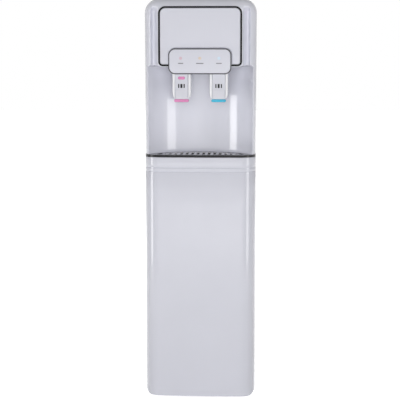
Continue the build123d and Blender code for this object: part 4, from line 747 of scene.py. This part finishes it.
def ring_loop(centre, radii, y):
    """A loop of points round a fore-and-aft axis, one for each radius."""
    (x, z), count = centre, len(radii)
    return [(x + radius * cos(2 * pi * i / count), y, z + radius * sin(2 * pi * i / count))
            for i, radius in enumerate(radii)]


def make_condenser():
    y, base, pitch, half, tube_radius, wire_radius = 201.0, 420.0, 70.0, 92.0, 2.4, 0.75
    runs, wire_count = 5, 10
    corners = [(0.0, y, 266.0), (0.0, y, base), (half, y, base)]
    for i in range(1, runs + 1):
        ends = (-half, half) if i % 2 == 0 else (half, -half)
        corners += [(x, y, base + i * pitch) for x in ends]
    tube("condenser_tube", [bent(corners, 33.9, 12)], tube_radius, "black_enamel")
    wires = []
    for i in range(wire_count):
        x = -half + (i + 1) * 2 * half / (wire_count + 1)
        ends = (base - 2 * tube_radius, base + runs * pitch + 2 * tube_radius)
        wires.append([(x, y + tube_radius + wire_radius, z) for z in ends])
    tube("condenser_wires", wires, wire_radius, "black_enamel", ["condenser"], resolution=2)
    lines = [
        [(0.0, 86.0, 202.0), (0.0, 86.0, 234.0), (0.0, y, 234.0), (0.0, y, 266.0)],
        [(50.0, 86.0, 202.0), (50.0, 86.0, 234.0), (100.0, 110.0, 282.0), (100.0, 110.0, 875.0)],
    ]
    routes = [bent(route, 16, 10) for route in lines]
    tube("copper_lines", routes, 3.0, "copper_tube", ["refrigerant_lines"])


def make_screw_heads():
    """Six domed heads, each with a cross recess."""
    sides, heads = 24, []
    arms = []
    for i in range(sides):
        angle = 2 * pi * i / sides
        arms.append(1.9 if max(abs(cos(angle)), abs(sin(angle))) > 0.95 else 0.75)
    dome = ((4.4, 179.0), (4.4, 179.9), (4.1, 180.6), (3.4, 181.1), (2.4, 181.4))
    for x in (-139.25, 139.25):
        for z in (56.0, 526.5, 997.0):
            loops = [ring_loop((x, z), [radius] * sides, y) for radius, y in dome]
            loops.append(ring_loop((x, z), arms, 181.4))
            loops.append(ring_loop((x, z), [arm * 0.6 for arm in arms], 180.2))
            heads.append(loft(loops, cap_last=True))
    new_piece("rear_screw_heads", *join(*heads), "zinc_steel", "cabinet", ["rear_screws"], angle=40)


def make_drain_cap():
    """The drain's screw cap, ribbed for grip between its two rounded edges."""
    sides, rib_depth = 96, 0.7
    profile = [(10.2, 188.0), (11.2, 188.2), (11.7, 188.8), (11.7, 202.4), (11.2, 203.4)]
    profile += [(10.2, 204.0), (4.0, 204.0), (3.6, 203.7)]
    loops = []
    for radius, y in profile:
        groove = rib_depth if 188.5 < y < 202.8 else 0
        radii = [radius - (groove if i % 4 >= 2 else 0) for i in range(sides)]
        loops.append(ring_loop((96.0, 108.0), radii, y))
    points, faces = loft(loops, cap_last=True)
    cap = "drain_cap"
    new_piece("drain_cap_grip", points, faces, "black_plastic", cap, [cap], angle=40)


make_upper_housing()
make_door()
make_display()
for tap_name, tap_side in (("hot", -1), ("cold", 1)):
    make_tap(tap_name, tap_side * TAP_X)
make_lower_panel()
make_grille()
make_condenser()
make_screw_heads()
make_drain_cap()


# Floor, light and camera
FLOOR_COLOR = (0.80, 0.80, 0.80, 1)
# The floor's own glow for the camera and for reflections: dimmer near the object than further off,
# a painted shade on the floor round the object
FLOOR_GLOW = {"From Min": 0.3, "From Max": 1.6, "To Min": 0.80, "To Max": 1.0}
# Each light's name, place, aim, size and power, and whether reflections show it
LIGHTS = (
    ("left_strip", (-1.885, -0.87, 0.82), (0, -0.2, 0.82), (0.56, 1.6), 10, True),
    ("right_strip", (1.73, -1.20, 0.82), (0, -0.2, 0.82), (0.66, 1.6), 8, True),
    ("front", (0.0, -4.3, 0.95), (0, 0, 0.85), (3.6, 2.4), 86, False),
    ("near_view", (0.15, -3.4, 0.72), (0, 0, 0.72), (0.9, 0.6), 17, False),
    ("top", (0, -1.2, 3.2), (0, 0, 0.85), (2.0, 1.2), 6, False),
    ("back_left", (-2.2, 2.4, 1.5), (0, 0, 0.6), (1.6, 1.6), 26, False),
    ("back_right", (2.2, 2.4, 1.5), (0, 0, 0.6), (1.6, 1.6), 26, False),
)


def stage_floor():
    bpy.ops.mesh.primitive_plane_add(size=30, location=(0, 0, 0))
    floor = bpy.context.object
    floor.name = "floor"
    material = bpy.data.materials.new("floor")
    material.use_nodes = True
    tree = material.node_tree
    bsdf = tree.nodes["Principled BSDF"]
    bsdf.inputs["Base Color"].default_value = FLOOR_COLOR
    bsdf.inputs["Roughness"].default_value = 0.7
    glow = tree.nodes.new("ShaderNodeEmission")
    glow.inputs["Color"].default_value = (1, 1, 1, 1)
    path = tree.nodes.new("ShaderNodeLightPath")
    place = tree.nodes.new("ShaderNodeTexCoord")
    reach = tree.nodes.new("ShaderNodeVectorMath")
    reach.operation = "LENGTH"
    tree.links.new(place.outputs["Object"], reach.inputs[0])
    # Painted shade: the glow falls off towards the object, darkening the floor round it
    spread = tree.nodes.new("ShaderNodeMapRange")
    for key, value in FLOOR_GLOW.items():
        spread.inputs[key].default_value = value
    tree.links.new(reach.outputs["Value"], spread.inputs["Value"])
    strength = tree.nodes.new("ShaderNodeMath")
    strength.operation = "MULTIPLY"
    tree.links.new(spread.outputs["Result"], strength.inputs[1])
    seen = tree.nodes.new("ShaderNodeMath")
    seen.operation = "MAXIMUM"
    tree.links.new(path.outputs["Is Camera Ray"], seen.inputs[0])
    tree.links.new(path.outputs["Is Glossy Ray"], seen.inputs[1])
    tree.links.new(seen.outputs[0], strength.inputs[0])
    tree.links.new(strength.outputs[0], glow.inputs["Strength"])
    total = tree.nodes.new("ShaderNodeAddShader")
    tree.links.new(bsdf.outputs[0], total.inputs[0])
    tree.links.new(glow.outputs[0], total.inputs[1])
    tree.links.new(total.outputs[0], tree.nodes["Material Output"].inputs["Surface"])
    floor.data.materials.append(material)


def light_world(level, glossy_level):
    """A white world that the camera sees at full strength, and other rays at their own levels."""
    world = bpy.data.worlds.new("studio")
    scene.world = world
    world.use_nodes = True
    tree = world.node_tree
    background = tree.nodes["Background"]
    path = tree.nodes.new("ShaderNodeLightPath")
    soft = tree.nodes.new("ShaderNodeMix")
    soft.data_type = "FLOAT"
    soft.inputs[2].default_value = level
    soft.inputs[3].default_value = glossy_level
    tree.links.new(path.outputs["Is Glossy Ray"], soft.inputs[0])
    seen = tree.nodes.new("ShaderNodeMix")
    seen.data_type = "FLOAT"
    seen.inputs[3].default_value = 1.0
    tree.links.new(path.outputs["Is Camera Ray"], seen.inputs[0])
    tree.links.new(soft.outputs[0], seen.inputs[2])
    tree.links.new(seen.outputs[0], background.inputs["Strength"])
    background.inputs["Color"].default_value = (1, 1, 1, 1)


def soft_box(name, place, aim, size, power, glossy):
    data = bpy.data.lights.new(name, "AREA")
    data.shape = "RECTANGLE"
    data.size, data.size_y = size
    data.energy = power
    lamp = bpy.data.objects.new(name, data)
    scene.collection.objects.link(lamp)
    lamp.location = place
    lamp.visible_glossy = glossy
    lamp.rotation_euler = (Vector(aim) - Vector(place)).to_track_quat("-Z", "Y").to_euler()


def set_camera():
    data = bpy.data.cameras.new("view")
    camera = bpy.data.objects.new("view", data)
    scene.collection.objects.link(camera)
    camera.location = CAMERA_PLACE
    yaw = atan2(CAMERA_PLACE[0] - AIM_PLACE[0], AIM_PLACE[1] - CAMERA_PLACE[1])
    camera.rotation_euler = (pi / 2 - DOWN_TILT, 0, yaw)
    data.sensor_width = SENSOR_MM
    data.lens = SENSOR_MM * FOCAL_PX / IMAGE_SIZE
    data.shift_x = SIDE_SHIFT_PX / IMAGE_SIZE
    data.shift_y = (MIDDLE_ROW - IMAGE_SIZE / 2) / IMAGE_SIZE
    data.clip_end = 100
    scene.camera = camera


stage_floor()
light_world(0.0, 0.78)
for light in LIGHTS:
    soft_box(*light)
set_camera()
